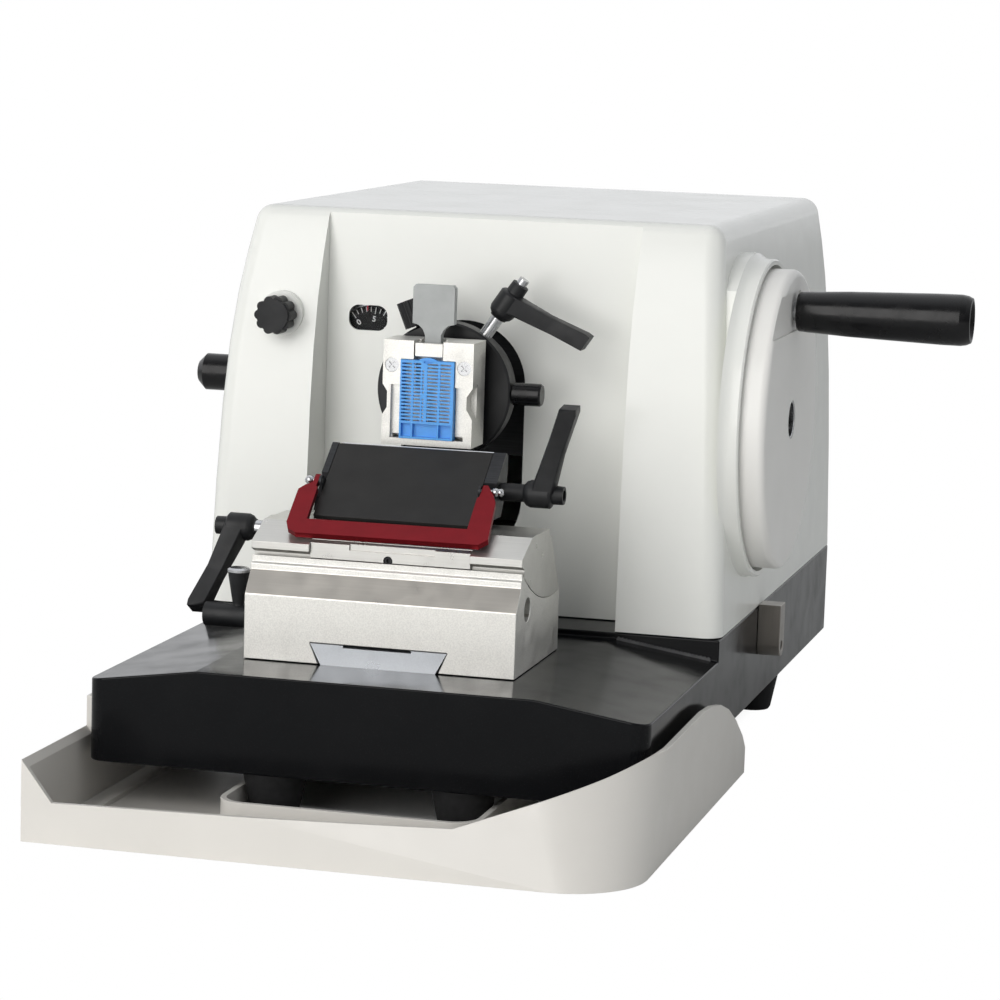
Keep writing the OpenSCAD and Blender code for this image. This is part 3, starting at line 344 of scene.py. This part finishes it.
def glass_filled_nylon():
    """Glass-filled nylon, moulded: matt black, slightly rough, polished where hands rub it."""
    black = srgb("#131416")
    finish = Finish("nylon_glass_filled_moulded", black, roughness=0.48, specular_ior_level=0.35)
    # the texture of such levers is 0.2 mm and is drawn at 0.6 mm
    finish.relief(0.6, 0.03, detail=4)
    finish.mottle(7, srgb("#101113"), srgb("#191A1C"))
    finish.gloss(12, 0.38, 0.58)
    return finish.material


def polished_phenolic():
    """Phenolic, turned and polished: near-mirror black with hairline scratches."""
    finish = Finish("phenolic_polished", srgb("#0A0A0C"), roughness=0.2, specular_ior_level=0.3)
    # hairline scratches round the grip, 0.5 mm apart
    finish.relief(0.5, 0.006, detail=3, stretch=(1, 18, 18))
    finish.gloss(10, 0.14, 0.34, detail=5)
    return finish.material


def blasted_aluminium():
    """Aluminium, bead-blasted and clear anodised: even pale sparkle."""
    finish = Finish("aluminium_bead_blasted", srgb("#D9D8D4"), metallic=0.85, roughness=0.42)
    # bead dimples are 0.15 mm and are drawn at 0.7 mm
    dimple, detail = 0.7, 5
    finish.relief(dimple, 0.02, detail=detail)
    finish.mottle(dimple, srgb("#CFCECA"), srgb("#E2E1DC"), detail=detail)
    finish.gloss(9, 0.36, 0.5, detail=3)
    return finish.material


def milled_aluminium(name="aluminium_fine_milled", axis=0, colour="#CDCCC8"):
    """Aluminium, fine milled: long straight cutter lines that stretch the highlights."""
    finish = Finish(name, srgb(colour), metallic=0.92, roughness=0.33)
    # cutter lines 0.4 mm apart and 40 mm long, drawn at 0.8 mm
    lines = {"detail": 3, "stretch": [50 if i == axis else 1 for i in range(3)]}
    finish.relief(0.8, 0.008, **lines)
    finish.mottle(0.8, shade(srgb(colour), 0.93), srgb(colour), **lines)
    finish.gloss(12, 0.26, 0.4, detail=4)
    return finish.material


def turned_steel(name="steel_turned_bright", colour="#B9BABC"):
    """Steel, turned bright: a fine even grain and a crisp highlight."""
    finish = Finish(name, srgb(colour), metallic=1.0, roughness=0.24)
    finish.relief(0.3, 0.006, detail=4)
    finish.gloss(5, 0.17, 0.33, detail=4)
    return finish.material


def blackened_steel():
    """Steel, ground and chemically blackened: dark blue-grey with ground streaks."""
    finish = Finish("steel_chemically_blackened", srgb("#2B2C2E"), metallic=0.55, roughness=0.42)
    # grinding streaks 17 mm long
    streaks = {"detail": 4, "stretch": (24, 1, 1)}
    finish.relief(0.7, 0.006, **streaks)
    finish.mottle(0.7, srgb("#232426"), srgb("#313235"), **streaks)
    finish.gloss(14, 0.36, 0.52, detail=4)
    return finish.material


def browned_plate():
    """Steel, ground, blackened and oiled: even charcoal with the faintest grinding lines."""
    charcoal = srgb("#1F1E1D")
    finish = Finish("steel_blackened_oiled", charcoal, metallic=0.2, roughness=0.42, specular_ior_level=0.3)
    # grinding lines 17 mm long
    lines = {"detail": 3, "stretch": (24, 1, 1)}
    finish.relief(0.7, 0.0015, **lines)
    finish.mottle(16, srgb("#1C1B1A"), srgb("#242322"), detail=4)
    finish.gloss(0.7, 0.37, 0.44, **lines)
    return finish.material


def enamelled_steel():
    """Steel, painted satin black: a soft broad shine."""
    black = srgb("#131416")
    finish = Finish("steel_painted_satin_black", black, roughness=0.34, specular_ior_level=0.35)
    finish.relief(1.2, 0.012, detail=3)
    finish.gloss(9, 0.28, 0.44, detail=3)
    return finish.material


def red_anodised(colours):
    """Aluminium, blasted and dyed red: metallic depth under a satin skin."""
    finish = Finish("aluminium_anodised_red", colours.guard, metallic=0.85, roughness=0.42)
    finish.relief(0.7, 0.008, detail=4)
    finish.mottle(8, shade(colours.guard, 0.86), colours.guard, detail=4)
    return finish.material


def moulded_acetal(colours):
    """Acetal, moulded: waxy blue that lets a little light through."""
    finish = Finish(
        "acetal_moulded_blue",
        colours.cassette,
        roughness=0.4,
        ior=1.48,
        subsurface_weight=0.12,
        subsurface_scale=0.8 * MM,
    )
    finish.relief(0.6, 0.008, detail=3)
    finish.mottle(6, shade(colours.cassette, 0.93), colours.cassette)
    return finish.material


def painted_zinc():
    """Zinc, die-cast and painted grey: even satin paint with a soft orange peel."""
    finish = Finish("zinc_die_cast_painted_grey", srgb("#A3A6A5"), roughness=0.38, ior=1.5)
    finish.relief(1.6, 0.008)
    finish.mottle(9, srgb("#9FA2A1"), srgb("#A9ACAB"), detail=3)
    finish.gloss(6, 0.32, 0.44, detail=3)
    return finish.material


def ground_blade_steel():
    """Blade steel, ground and stropped: bright with grinding lines across the edge."""
    finish = Finish("blade_steel_ground", srgb("#CFD1D4"), metallic=1.0, roughness=0.16)
    # grinding lines 0.4 mm apart and 8 mm long
    finish.relief(0.4, 0.004, detail=3, stretch=(1, 20, 20))
    return finish.material


def clear_acrylic():
    """Acrylic, cut, polished and coated against glare: the clear dial window."""
    tint = (0.97, 0.98, 0.99)
    finish = Finish("acrylic_clear_polished", tint, roughness=0.03, ior=1.12, transmission_weight=1.0)
    finish.relief(12, 0.004)
    return finish.material


def dial_lacquer():
    """Aluminium disc under matt black lacquer."""
    black = srgb("#0C0D0E")
    finish = Finish("aluminium_lacquered_matt_black", black, roughness=0.6, specular_ior_level=0.2)
    finish.relief(0.5, 0.01, detail=3)
    finish.mottle(3, srgb("#0B0C0D"), srgb("#121314"))
    return finish.material


def screen_ink(name, text):
    """Screen-printed ink: flat, slightly uneven in cover."""
    finish = Finish(name, srgb(text), roughness=0.5, ior=1.5)
    finish.mottle(0.4, shade(srgb(text), 0.9), srgb(text), detail=4)
    return finish.material


# ---------------------------------------------------------------- making pieces
# corners closer than WELD become one, and so do faces that meet at less than FLAT
WELD = 0.004 * MM
FLAT = math.radians(0.6)
# a copy's edge is eased where its faces turn by more than EASED_ANGLE
EASED_ANGLE = math.radians(32)
# an added piece's edge looks sharp where its faces turn by more than SHARP_ANGLE
SHARP_ANGLE = math.radians(30)


def finish_node(node, material):
    """Gives a solid that keeps its shape its real finish."""
    mesh = frame["nodes"][node].data
    mesh.materials.clear()
    mesh.materials.append(material)


def mesh_from(name, shape):
    """Turns a finished bmesh into a mesh."""
    mesh = bpy.data.meshes.new(name)
    shape.to_mesh(mesh)
    shape.free()
    return mesh


def mesh_piece(name, mesh, body, material, angle=SHARP_ANGLE):
    """Makes a mesh an object that rides on a body, smooth but for its sharp edges."""
    piece = bpy.data.objects.new(name, mesh)
    bpy.context.collection.objects.link(piece)
    mesh.materials.clear()
    mesh.materials.append(material)
    mesh.shade_smooth()
    mesh.set_sharp_from_angle(angle=angle)
    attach(piece, body)
    return piece


def eased_copy(node, radius, material, segments=2):
    """Stands for a solid with the same shape, its sharp edges rounded by radius in metres."""
    mesh = frame["nodes"][node].data.copy()
    shape = bmesh.new()
    shape.from_mesh(mesh)
    bmesh.ops.remove_doubles(shape, verts=shape.verts, dist=WELD)
    bmesh.ops.dissolve_limit(
        shape,
        angle_limit=FLAT,
        verts=shape.verts,
        edges=shape.edges,
        use_dissolve_boundaries=False,
    )
    shape.to_mesh(mesh)
    shape.free()
    piece = mesh_piece(node + "_eased", mesh, BODY_OF[node], material, EASED_ANGLE)
    bevel = piece.modifiers.new("Edges", "BEVEL")
    bevel.width = radius
    bevel.segments = segments
    bevel.limit_method = "ANGLE"
    bevel.angle_limit = EASED_ANGLE
    bevel.miter_outer = "MITER_ARC"
    weights = piece.modifiers.new("Normals", "WEIGHTED_NORMAL")
    weights.keep_sharp = True
    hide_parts(node)
    return piece


def revolved(name, profile, middle, along, steps, sleeve):
    """A mesh turned about an axis through middle, from pairs of radius and place along the axis.

    A sleeve's profile closes on itself, and a plug's two ends are flat faces.
    """
    upward = Vector((0, 0, 1))
    across = Vector((along.y, along.x, 0))
    shape = bmesh.new()
    rings = []
    for r, place in profile:
        ring = []
        for i in range(steps):
            turn = math.tau * i / steps
            spoke = r * math.cos(turn) * across + r * math.sin(turn) * upward
            ring.append(shape.verts.new((middle + place * along + spoke) * MM))
        rings.append(ring)
    pairs = list(zip(rings, rings[1:]))
    if sleeve:
        pairs.append((rings[-1], rings[0]))
    for here, there in pairs:
        for i in range(steps):
            k = (i + 1) % steps
            shape.faces.new((here[i], here[k], there[k], there[i]))
    if not sleeve:
        shape.faces.new(rings[0])
        shape.faces.new(rings[-1])
    bmesh.ops.recalc_face_normals(shape, faces=shape.faces)
    return mesh_from(name, shape)


# ---------------------------------------------------------------- the machine's own pieces
class MicrotomeStep:
    """What the building operators share."""

    bl_options = {"REGISTER", "UNDO"}

    @property
    def colours(self):
        return bpy.context.scene.microtome_colours

    @property
    def sizes(self):
        return bpy.context.scene.microtome_sizes


class MICROTOME_OT_base(MicrotomeStep, bpy.types.Operator):
    """Dress the casting, its feet, lug and seals"""

    bl_idname = "microtome.base"
    bl_label = "Base"

    def execute(self, context):
        eased_copy("base_casting", self.sizes.casting_edge, stove_enamel(self.colours), segments=3)
        rubber = moulded_rubber()
        for corner in ("front_left", "front_right", "rear_left", "rear_right"):
            finish_node("foot_" + corner, rubber)
        finish_node("cover_gasket", rubber)
        finish_node("cover_edge_seal", moulded_rubber("rubber_moulded_grey", "#4C4C4D", "#626263"))
        lug_steel = milled_aluminium("steel_milled_oiled_lug", 2, "#8F8A84")
        eased_copy("side_lug", self.sizes.milled_edge, lug_steel)
        return {"FINISHED"}


class MICROTOME_OT_cover(MicrotomeStep, bpy.types.Operator):
    """Dress the moulded cover"""

    bl_idname = "microtome.cover"
    bl_label = "Cover"

    def execute(self, context):
        eased_copy("cover", self.sizes.cover_edge, gloss_abs(self.colours), segments=3)
        return {"FINISHED"}


class MICROTOME_OT_handwheel(MicrotomeStep, bpy.types.Operator):
    """Dress the handwheel with its shaft, hub and handle"""

    bl_idname = "microtome.handwheel"
    bl_label = "Handwheel"

    def execute(self, context):
        wheel_abs = satin_abs("abs_satin_wheel", self.colours.wheel)
        eased_copy("handwheel", self.sizes.wheel_edge, wheel_abs, segments=3)
        steel = turned_steel()
        for node in ("drive_shaft", "handle_spindle"):
            finish_node(node, steel)
        finish_node("hub_screw", turned_steel("steel_turned_oiled", "#4A4947"))
        self.hub_liner(steel)
        finish_node("handle_grip", polished_phenolic())
        return {"FINISHED"}

    def hub_liner(self, steel):
        """Bright sleeve that lines the recess of the hub screw."""
        wall, clearance, chamfer = 1.1, 0.1, 0.3
        below_face, above_screw = 0.3, 0.05
        lo, hi = low("hub_screw"), high("hub_screw")
        outer = (hi.y - lo.y) / 2 + clearance
        inner = outer - wall
        face = high("handwheel").x - below_face
        seat = hi.x + above_screw
        profile = (
            (outer, seat),
            (outer, face),
            (inner + chamfer, face),
            (inner, face - chamfer),
            (inner, seat),
        )
        middle = Vector((0, (lo.y + hi.y) / 2, (lo.z + hi.z) / 2))
        mesh = revolved("hub_liner", profile, middle, Vector((1, 0, 0)), steps=64, sleeve=True)
        mesh_piece("hub_liner", mesh, BODY_OF["handwheel"], steel)


class MICROTOME_OT_drive(MicrotomeStep, bpy.types.Operator):
    """Dress the slide, feed cylinder and guides behind the panel"""

    bl_idname = "microtome.drive"
    bl_label = "Specimen drive"

    def execute(self, context):
        steel = turned_steel()
        for node in ("guide_columns", "feed_cylinder", "gimbal_ring", "head_ball", "dial_bracket"):
            finish_node(node, steel)
        dark = blackened_steel()
        for node in ("bearing_stand", "slide_block"):
            finish_node(node, dark)
        eased_copy("ball_housing", self.sizes.painted_edge, enamelled_steel())
        return {"FINISHED"}


class MICROTOME_OT_head(MicrotomeStep, bpy.types.Operator):
    """Dress the cassette clamp with its jaw and release lever"""

    bl_idname = "microtome.head"
    bl_label = "Specimen head"

    def execute(self, context):
        blasted = blasted_aluminium()
        eased_copy("cassette_clamp", self.sizes.milled_edge, blasted)
        eased_copy("clamp_jaw", self.sizes.milled_edge, blasted)
        eased_copy("release_lever", self.sizes.wheel_edge, painted_zinc(), segments=3)
        finish_node("clamp_screws", turned_steel())
        return {"FINISHED"}


class MICROTOME_OT_cassette(MicrotomeStep, bpy.types.Operator):
    """Dress the tissue cassette"""

    bl_idname = "microtome.cassette"
    bl_label = "Tissue cassette"

    def execute(self, context):
        finish_node("cassette", moulded_acetal(self.colours))
        return {"FINISHED"}


class MICROTOME_OT_levers(MicrotomeStep, bpy.types.Operator):
    """Dress the clamping levers, screws and knobs"""

    bl_idname = "microtome.levers"
    bl_label = "Levers and knobs"

    def execute(self, context):
        nylon = glass_filled_nylon()
        for node in ("head_lever", "base_lever", "segment_lever", "blade_lever", "thickness_knob"):
            eased_copy(node, self.sizes.lever_edge, nylon)
        for node in ("tilt_knob", "coarse_bush"):
            finish_node(node, nylon)
        phenolic = polished_phenolic()
        for node in ("swivel_knob", "coarse_knob"):
            finish_node(node, phenolic)
        steel = turned_steel()
        for node in ("head_lever_stud", "base_lever_cap", "segment_shaft", "cam_rod"):
            finish_node(node, steel)
        return {"FINISHED"}


class MICROTOME_OT_holder(MicrotomeStep, bpy.types.Operator):
    """Dress the knife holder: rail, base, segment, carriage, plate, blade and guard"""

    bl_idname = "microtome.holder"
    bl_label = "Knife holder"

    def execute(self, context):
        lines = milled_aluminium()
        self.holder_base()
        # a dark screw in the front plate's hole paints the shade inside it
        self.grub_screw()
        for node in ("blade_segment", "front_plate", "blade_carriage"):
            eased_copy(node, self.sizes.milled_edge, lines)
        finish_node("dovetail_rail", milled_aluminium("aluminium_ground_rail", 1, "#C6CACF"))
        eased_copy("carriage_cheeks", self.sizes.cheek_edge, blackened_steel())
        eased_copy("pressure_plate", self.sizes.plate_edge, browned_plate())
        finish_node("blade", ground_blade_steel())
        eased_copy("finger_guard", self.sizes.painted_edge, red_anodised(self.colours))
        finish_node("guard_screws", turned_steel())
        return {"FINISHED"}

    def holder_base(self):
        """Blasted base whose front slope is milled; the slope's darker, brownish colour is painted shade.
        """
        slope, alike = Vector((0, -0.8, 0.6)), 0.99
        base = eased_copy("holder_base", self.sizes.milled_edge, blasted_aluminium())
        # faces that look forward and up get milled lines and a darker, browner colour: painted shade on the
        # slope
        base.data.materials.append(milled_aluminium("aluminium_milled_slope_painted_shade", 0, "#BDB9B2"))
        for face in base.data.polygons:
            face.material_index = int(face.normal.dot(slope) > alike)

    def grub_screw(self):
        """Blackened socket screw at the bottom of the front plate's hole, dark so that it paints the shade
        inside the hole.
        """
        screw_r, socket_r, chamfer = 2.2, 1.1, 0.3
        length, socket_depth = 1.9, 1.5
        # the hole lies beside the plate's middle and above its lower edge
        hole_dx, hole_dz, clearance = -1, 2.5, 0.1
        lo, hi = low("front_plate"), high("front_plate")
        middle = Vector(((lo.x + hi.x) / 2 + hole_dx, hi.y - clearance, lo.z + hole_dz))
        profile = (
            (screw_r, 0),
            (screw_r, chamfer - length),
            (screw_r - chamfer, -length),
            (socket_r, -length),
            (socket_r, socket_depth - length),
        )
        name = "front_plate_hole_shade_screw"
        mesh = revolved(name, profile, middle, Vector((0, 1, 0)), steps=24, sleeve=False)
        mesh_piece(name, mesh, BODY_OF["front_plate"], blackened_steel())


class MICROTOME_OT_tray(MicrotomeStep, bpy.types.Operator):
    """Dress the waste tray"""

    bl_idname = "microtome.tray"
    bl_label = "Waste tray"

    def execute(self, context):
        tray_abs = satin_abs("abs_satin_tray", self.colours.tray)
        eased_copy("waste_tray", self.sizes.tray_edge, tray_abs, segments=3)
        return {"FINISHED"}


class DialFace:
    """The printed face of the dial: its middle, its radius and the points on it."""

    def __init__(self):
        print_gap = 0.08
        lo, hi = low("thickness_dial"), high("thickness_dial")
        self.middle = Vector(((lo.x + hi.x) / 2, lo.y - print_gap, (lo.z + hi.z) / 2))
        self.radius = (hi.x - lo.x) / 2

    def at(self, r, turn, side=0.0):
        """A point in metres, r from the middle, turned from the top and moved sideways."""
        x = r * math.sin(turn) + side * math.cos(turn)
        z = r * math.cos(turn) - side * math.sin(turn)
        return (self.middle + Vector((x, 0, z))) * MM


class MICROTOME_OT_dial(MicrotomeStep, bpy.types.Operator):
    """Print the thickness scale and dress its window"""

    bl_idname = "microtome.dial"
    bl_label = "Thickness dial"

    def execute(self, context):
        finish_node("thickness_dial", dial_lacquer())
        finish_node("dial_lens", clear_acrylic())
        self.print_scale()
        self.print_index()
        return {"FINISHED"}

    def turn_of(self, unit):
        """How far a unit stands from the index."""
        return (unit - self.sizes.scale_reading) * self.sizes.scale_step

    def print_scale(self):
        """Lines for every unit and a number every few, as thin layers of ink."""
        ink_thickness = 0.05
        face = DialFace()
        shape = bmesh.new()
        for unit in range(LAST_UNIT + 1):
            self.add_line(shape, face, unit)
        for unit in range(0, LAST_UNIT + 1, NUMBERED_EVERY):
            self.add_number(shape, face, unit)
        white_ink = screen_ink("ink_white_screen_printed", "#E4E5E3")
        body = BODY_OF["thickness_dial"]
        printed = mesh_piece("dial_scale", mesh_from("dial_scale", shape), body, white_ink)
        printed.modifiers.new("Ink", "SOLIDIFY").thickness = ink_thickness * MM

    def add_line(self, shape, face, unit):
        """One line of the scale, longer and wider where a number stands."""
        numbered = unit % NUMBERED_EVERY == 0
        length, half_width = (3.7, 0.24) if numbered else (2.7, 0.2)
        rim = 0.5
        outer = face.radius - rim
        inner = outer - length
        corners = (
            (inner, -half_width),
            (inner, half_width),
            (outer, half_width),
            (outer, -half_width),
        )
        turn = self.turn_of(unit)
        shape.faces.new([shape.verts.new(face.at(r, turn, side)) for r, side in corners])

    def add_number(self, shape, face, unit):
        """One number of the scale, upright where it passes the index."""
        height, boldness, below_rim = 4.2, 0.07, 7.0
        curve = bpy.data.curves.new("digits", "FONT")
        curve.body = str(unit)
        curve.size = height * MM
        curve.offset = boldness * MM
        curve.align_x, curve.align_y = "CENTER", "CENTER"
        holder = bpy.data.objects.new("digits", curve)
        bpy.context.collection.objects.link(holder)
        bpy.context.view_layer.update()
        graph = bpy.context.evaluated_depsgraph_get()
        flat = bpy.data.meshes.new_from_object(holder.evaluated_get(graph))
        turn = self.turn_of(unit)
        place = Matrix.Translation(face.at(face.radius - below_rim, turn))
        upright = Matrix.Rotation(turn, 4, "Y") @ Matrix.Rotation(math.radians(90), 4, "X")
        flat.transform(place @ upright)
        shape.from_mesh(flat)
        bpy.data.objects.remove(holder)
        bpy.data.meshes.remove(flat)

    def print_index(self):
        """Red index line on the front of the window."""
        half_width, length, thickness, eased = 0.28, 2.6, 0.06, 0.02
        left_of_middle, below_edge = 0.9, 1.8
        lo, hi = low("dial_lens"), high("dial_lens")
        middle = (lo.x + hi.x) / 2 - left_of_middle
        top = hi.z - below_edge
        shape = bmesh.new()
        corners = [
            shape.verts.new(Vector((x, y, z)) * MM)
            for x in (middle - half_width, middle + half_width)
            for y in (lo.y - thickness, lo.y)
            for z in (top - length, top)
        ]
        bmesh.ops.convex_hull(shape, input=corners)
        bmesh.ops.bevel(shape, geom=shape.edges[:], offset=eased * MM, segments=1, affect="EDGES")
        red_ink = screen_ink("ink_red_screen_printed", "#C2324A")
        body = BODY_OF["dial_lens"]
        mesh_piece("dial_index", mesh_from("dial_index", shape), body, red_ink)


# ---------------------------------------------------------------- studio, laid out in metres
def seen_directly(tree, path):
    """1 for rays from the camera and through clear pieces, 0 for others."""
    rays = {0: path.outputs["Is Camera Ray"], 1: path.outputs["Is Transmission Ray"]}
    return add_node(tree, "ShaderNodeMath", rays, operation="MAXIMUM").outputs[0]


class MICROTOME_OT_studio(MicrotomeStep, bpy.types.Operator):
    """Set up the floor, lamps and camera"""

    bl_idname = "microtome.studio"
    bl_label = "Studio"

    def execute(self, context):
        context.scene.view_settings.view_transform = "Standard"
        self.floor(context)
        self.room(context)
        self.lamps(context)
        self.camera(context)
        return {"FINISHED"}

    def floor(self, context):
        """Floor that shows white, and keeps the shade under the machine."""
        half_side = 12
        shape = bmesh.new()
        bmesh.ops.create_grid(shape, x_segments=1, y_segments=1, size=half_side)
        mesh = mesh_from("floor", shape)
        mesh.materials.append(self.floor_paint())
        ground = bpy.data.objects.new("floor", mesh)
        context.collection.objects.link(ground)

    def floor_paint(self):
        """Matt white paint. The shade fades to plain white within the base's outline."""
        inset, fade = 0.06, 0.045
        paint = Finish("studio_floor", srgb("#F4F4F2"), roughness=0.9, specular_ior_level=0.0)
        tree = paint.tree
        lo, hi = low("base_casting") * MM, high("base_casting") * MM
        middle, half = (lo + hi) / 2, (hi - lo) / 2 - Vector((inset, inset, 0))
        place = paint.place
        for operation, operand in (
            ("SUBTRACT", (middle.x, middle.y, 0)),
            ("ABSOLUTE", (0, 0, 0)),
            ("SUBTRACT", (half.x, half.y, 0)),
            ("MAXIMUM", (0, 0, 0)),
        ):
            step = add_node(tree, "ShaderNodeVectorMath", {0: place, 1: operand}, operation=operation)
            place = step.outputs[0]
        reach = add_node(tree, "ShaderNodeVectorMath", {0: place}, operation="LENGTH")
        past = add_node(
            tree,
            "ShaderNodeMapRange",
            {"Value": reach.outputs["Value"], "From Min": 0.0, "From Max": fade},
            interpolation_type="SMOOTHSTEP",
        )
        seen = seen_directly(tree, add_node(tree, "ShaderNodeLightPath"))
        share = add_node(tree, "ShaderNodeMath", {0: seen, 1: past.outputs[0]}, operation="MULTIPLY")
        white = add_node(tree, "ShaderNodeEmission", {"Color": WHITE, "Strength": 1.0})
        layers = {0: share.outputs[0], 1: paint.shader.outputs[0], 2: white.outputs[0]}
        blend = add_node(tree, "ShaderNodeMixShader", layers)
        tree.links.new(blend.outputs[0], tree.nodes["Material Output"].inputs["Surface"])
        return paint.material

    def room(self, context):
        """White surroundings that light the machine softly from all sides."""
        fill_strength = 0.4
        world = bpy.data.worlds.new("studio")
        context.scene.world = world
        world.use_nodes = True
        tree = world.node_tree
        tree.nodes.clear()
        path = add_node(tree, "ShaderNodeLightPath")
        # reflections find a bright room behind and above, and a dim one in front
        aim = add_node(tree, "ShaderNodeTexCoord").outputs["Generated"]
        depth = add_node(tree, "ShaderNodeSeparateXYZ", {"Vector": aim}).outputs["Y"]
        limits = {"From Min": -0.75, "From Max": 0.05, "To Min": 0.2, "To Max": 0.95}
        strength = add_node(tree, "ShaderNodeMapRange", {"Value": depth, **limits}).outputs[0]
        shown, fill, white = (
            add_node(tree, "ShaderNodeBackground", {"Color": colour, "Strength": value})
            for colour, value in (
                ((0.97, 0.98, 1.0, 1), strength),
                ((0.95, 0.97, 1.0, 1), fill_strength),
                (WHITE, 1.0),
            )
        )
        layers = {0: path.outputs["Is Glossy Ray"], 1: fill.outputs[0], 2: shown.outputs[0]}
        lit = add_node(tree, "ShaderNodeMixShader", layers)
        layers = {0: seen_directly(tree, path), 1: lit.outputs[0], 2: white.outputs[0]}
        mix = add_node(tree, "ShaderNodeMixShader", layers)
        add_node(tree, "ShaderNodeOutputWorld", {"Surface": mix.outputs[0]})

    def lamps(self, context):
        """Key softbox at the front left, with weak ones above and at the right."""
        aimed_at = Vector((0, 0, 0.12))
        for name, place, size, watts, colour in (
            ("key", Vector((-0.9, -2.6, 1.15)), 2.4, 57, (1.0, 0.985, 0.97)),
            ("top", Vector((-0.2, 0.3, 2.2)), 1.8, 2, (0.94, 0.97, 1.0)),
            ("side", Vector((2.4, -0.5, 1.3)), 1.2, 1, (1.0, 1.0, 1.0)),
        ):
            lamp = bpy.data.lights.new(name, "AREA")
            lamp.size, lamp.energy, lamp.color = size, watts, colour
            holder = bpy.data.objects.new(name, lamp)
            context.collection.objects.link(holder)
            holder.location = place
            holder.rotation_euler = (aimed_at - place).to_track_quat("-Z", "Y").to_euler()

    def camera(self, context):
        """Long lens from the front right, slightly above and a little rolled."""
        place = Vector((0.42420, -1.79371, 0.40628))
        azimuth, elevation, roll = (math.radians(a) for a in (14.43, 8.31, 1.83))
        level = math.cos(elevation)
        ahead = Vector((-math.sin(azimuth) * level, math.cos(azimuth) * level, -math.sin(elevation)))
        right = Vector((math.cos(azimuth), math.sin(azimuth), 0))
        up = right.cross(ahead)
        across = math.cos(roll) * right + math.sin(roll) * up
        upward = -math.sin(roll) * right + math.cos(roll) * up
        camera = bpy.data.objects.new("camera", bpy.data.cameras.new("camera"))
        context.collection.objects.link(camera)
        camera.data.sensor_width, camera.data.lens = 36, 124.6
        camera.data.clip_start, camera.data.clip_end = 0.05, 60
        turn = Matrix((across, upward, -ahead)).transposed().to_4x4()
        camera.matrix_world = Matrix.Translation(place) @ turn
        context.scene.camera = camera


# ---------------------------------------------------------------- panel and start
STEPS = (
    MICROTOME_OT_studio,
    MICROTOME_OT_base,
    MICROTOME_OT_cover,
    MICROTOME_OT_handwheel,
    MICROTOME_OT_drive,
    MICROTOME_OT_head,
    MICROTOME_OT_cassette,
    MICROTOME_OT_levers,
    MICROTOME_OT_holder,
    MICROTOME_OT_tray,
    MICROTOME_OT_dial,
)


class MICROTOME_PT_panel(bpy.types.Panel):
    """Lists the settings and the building steps"""

    bl_idname = "MICROTOME_PT_panel"
    bl_label = "Rotary microtome"
    bl_space_type = "VIEW_3D"
    bl_region_type = "UI"
    bl_category = "Microtome"

    def draw(self, context):
        for group in (context.scene.microtome_colours, context.scene.microtome_sizes):
            for name in group.__annotations__:
                self.layout.prop(group, name)
        for step in STEPS:
            self.layout.operator(step.bl_idname)


CLASSES = (MicrotomeColours, MicrotomeSizes, *STEPS, MICROTOME_PT_panel)


def register():
    for cls in CLASSES:
        bpy.utils.register_class(cls)
    bpy.types.Scene.microtome_colours = bpy.props.PointerProperty(type=MicrotomeColours)
    bpy.types.Scene.microtome_sizes = bpy.props.PointerProperty(type=MicrotomeSizes)


def unregister():
    del bpy.types.Scene.microtome_sizes
    del bpy.types.Scene.microtome_colours
    for cls in reversed(CLASSES):
        bpy.utils.unregister_class(cls)


def main():
    register()
    for step in STEPS:
        family, name = step.bl_idname.split(".")
        getattr(getattr(bpy.ops, family), name)()
    bpy.context.view_layer.update()


if __name__ == "__main__":
    main()
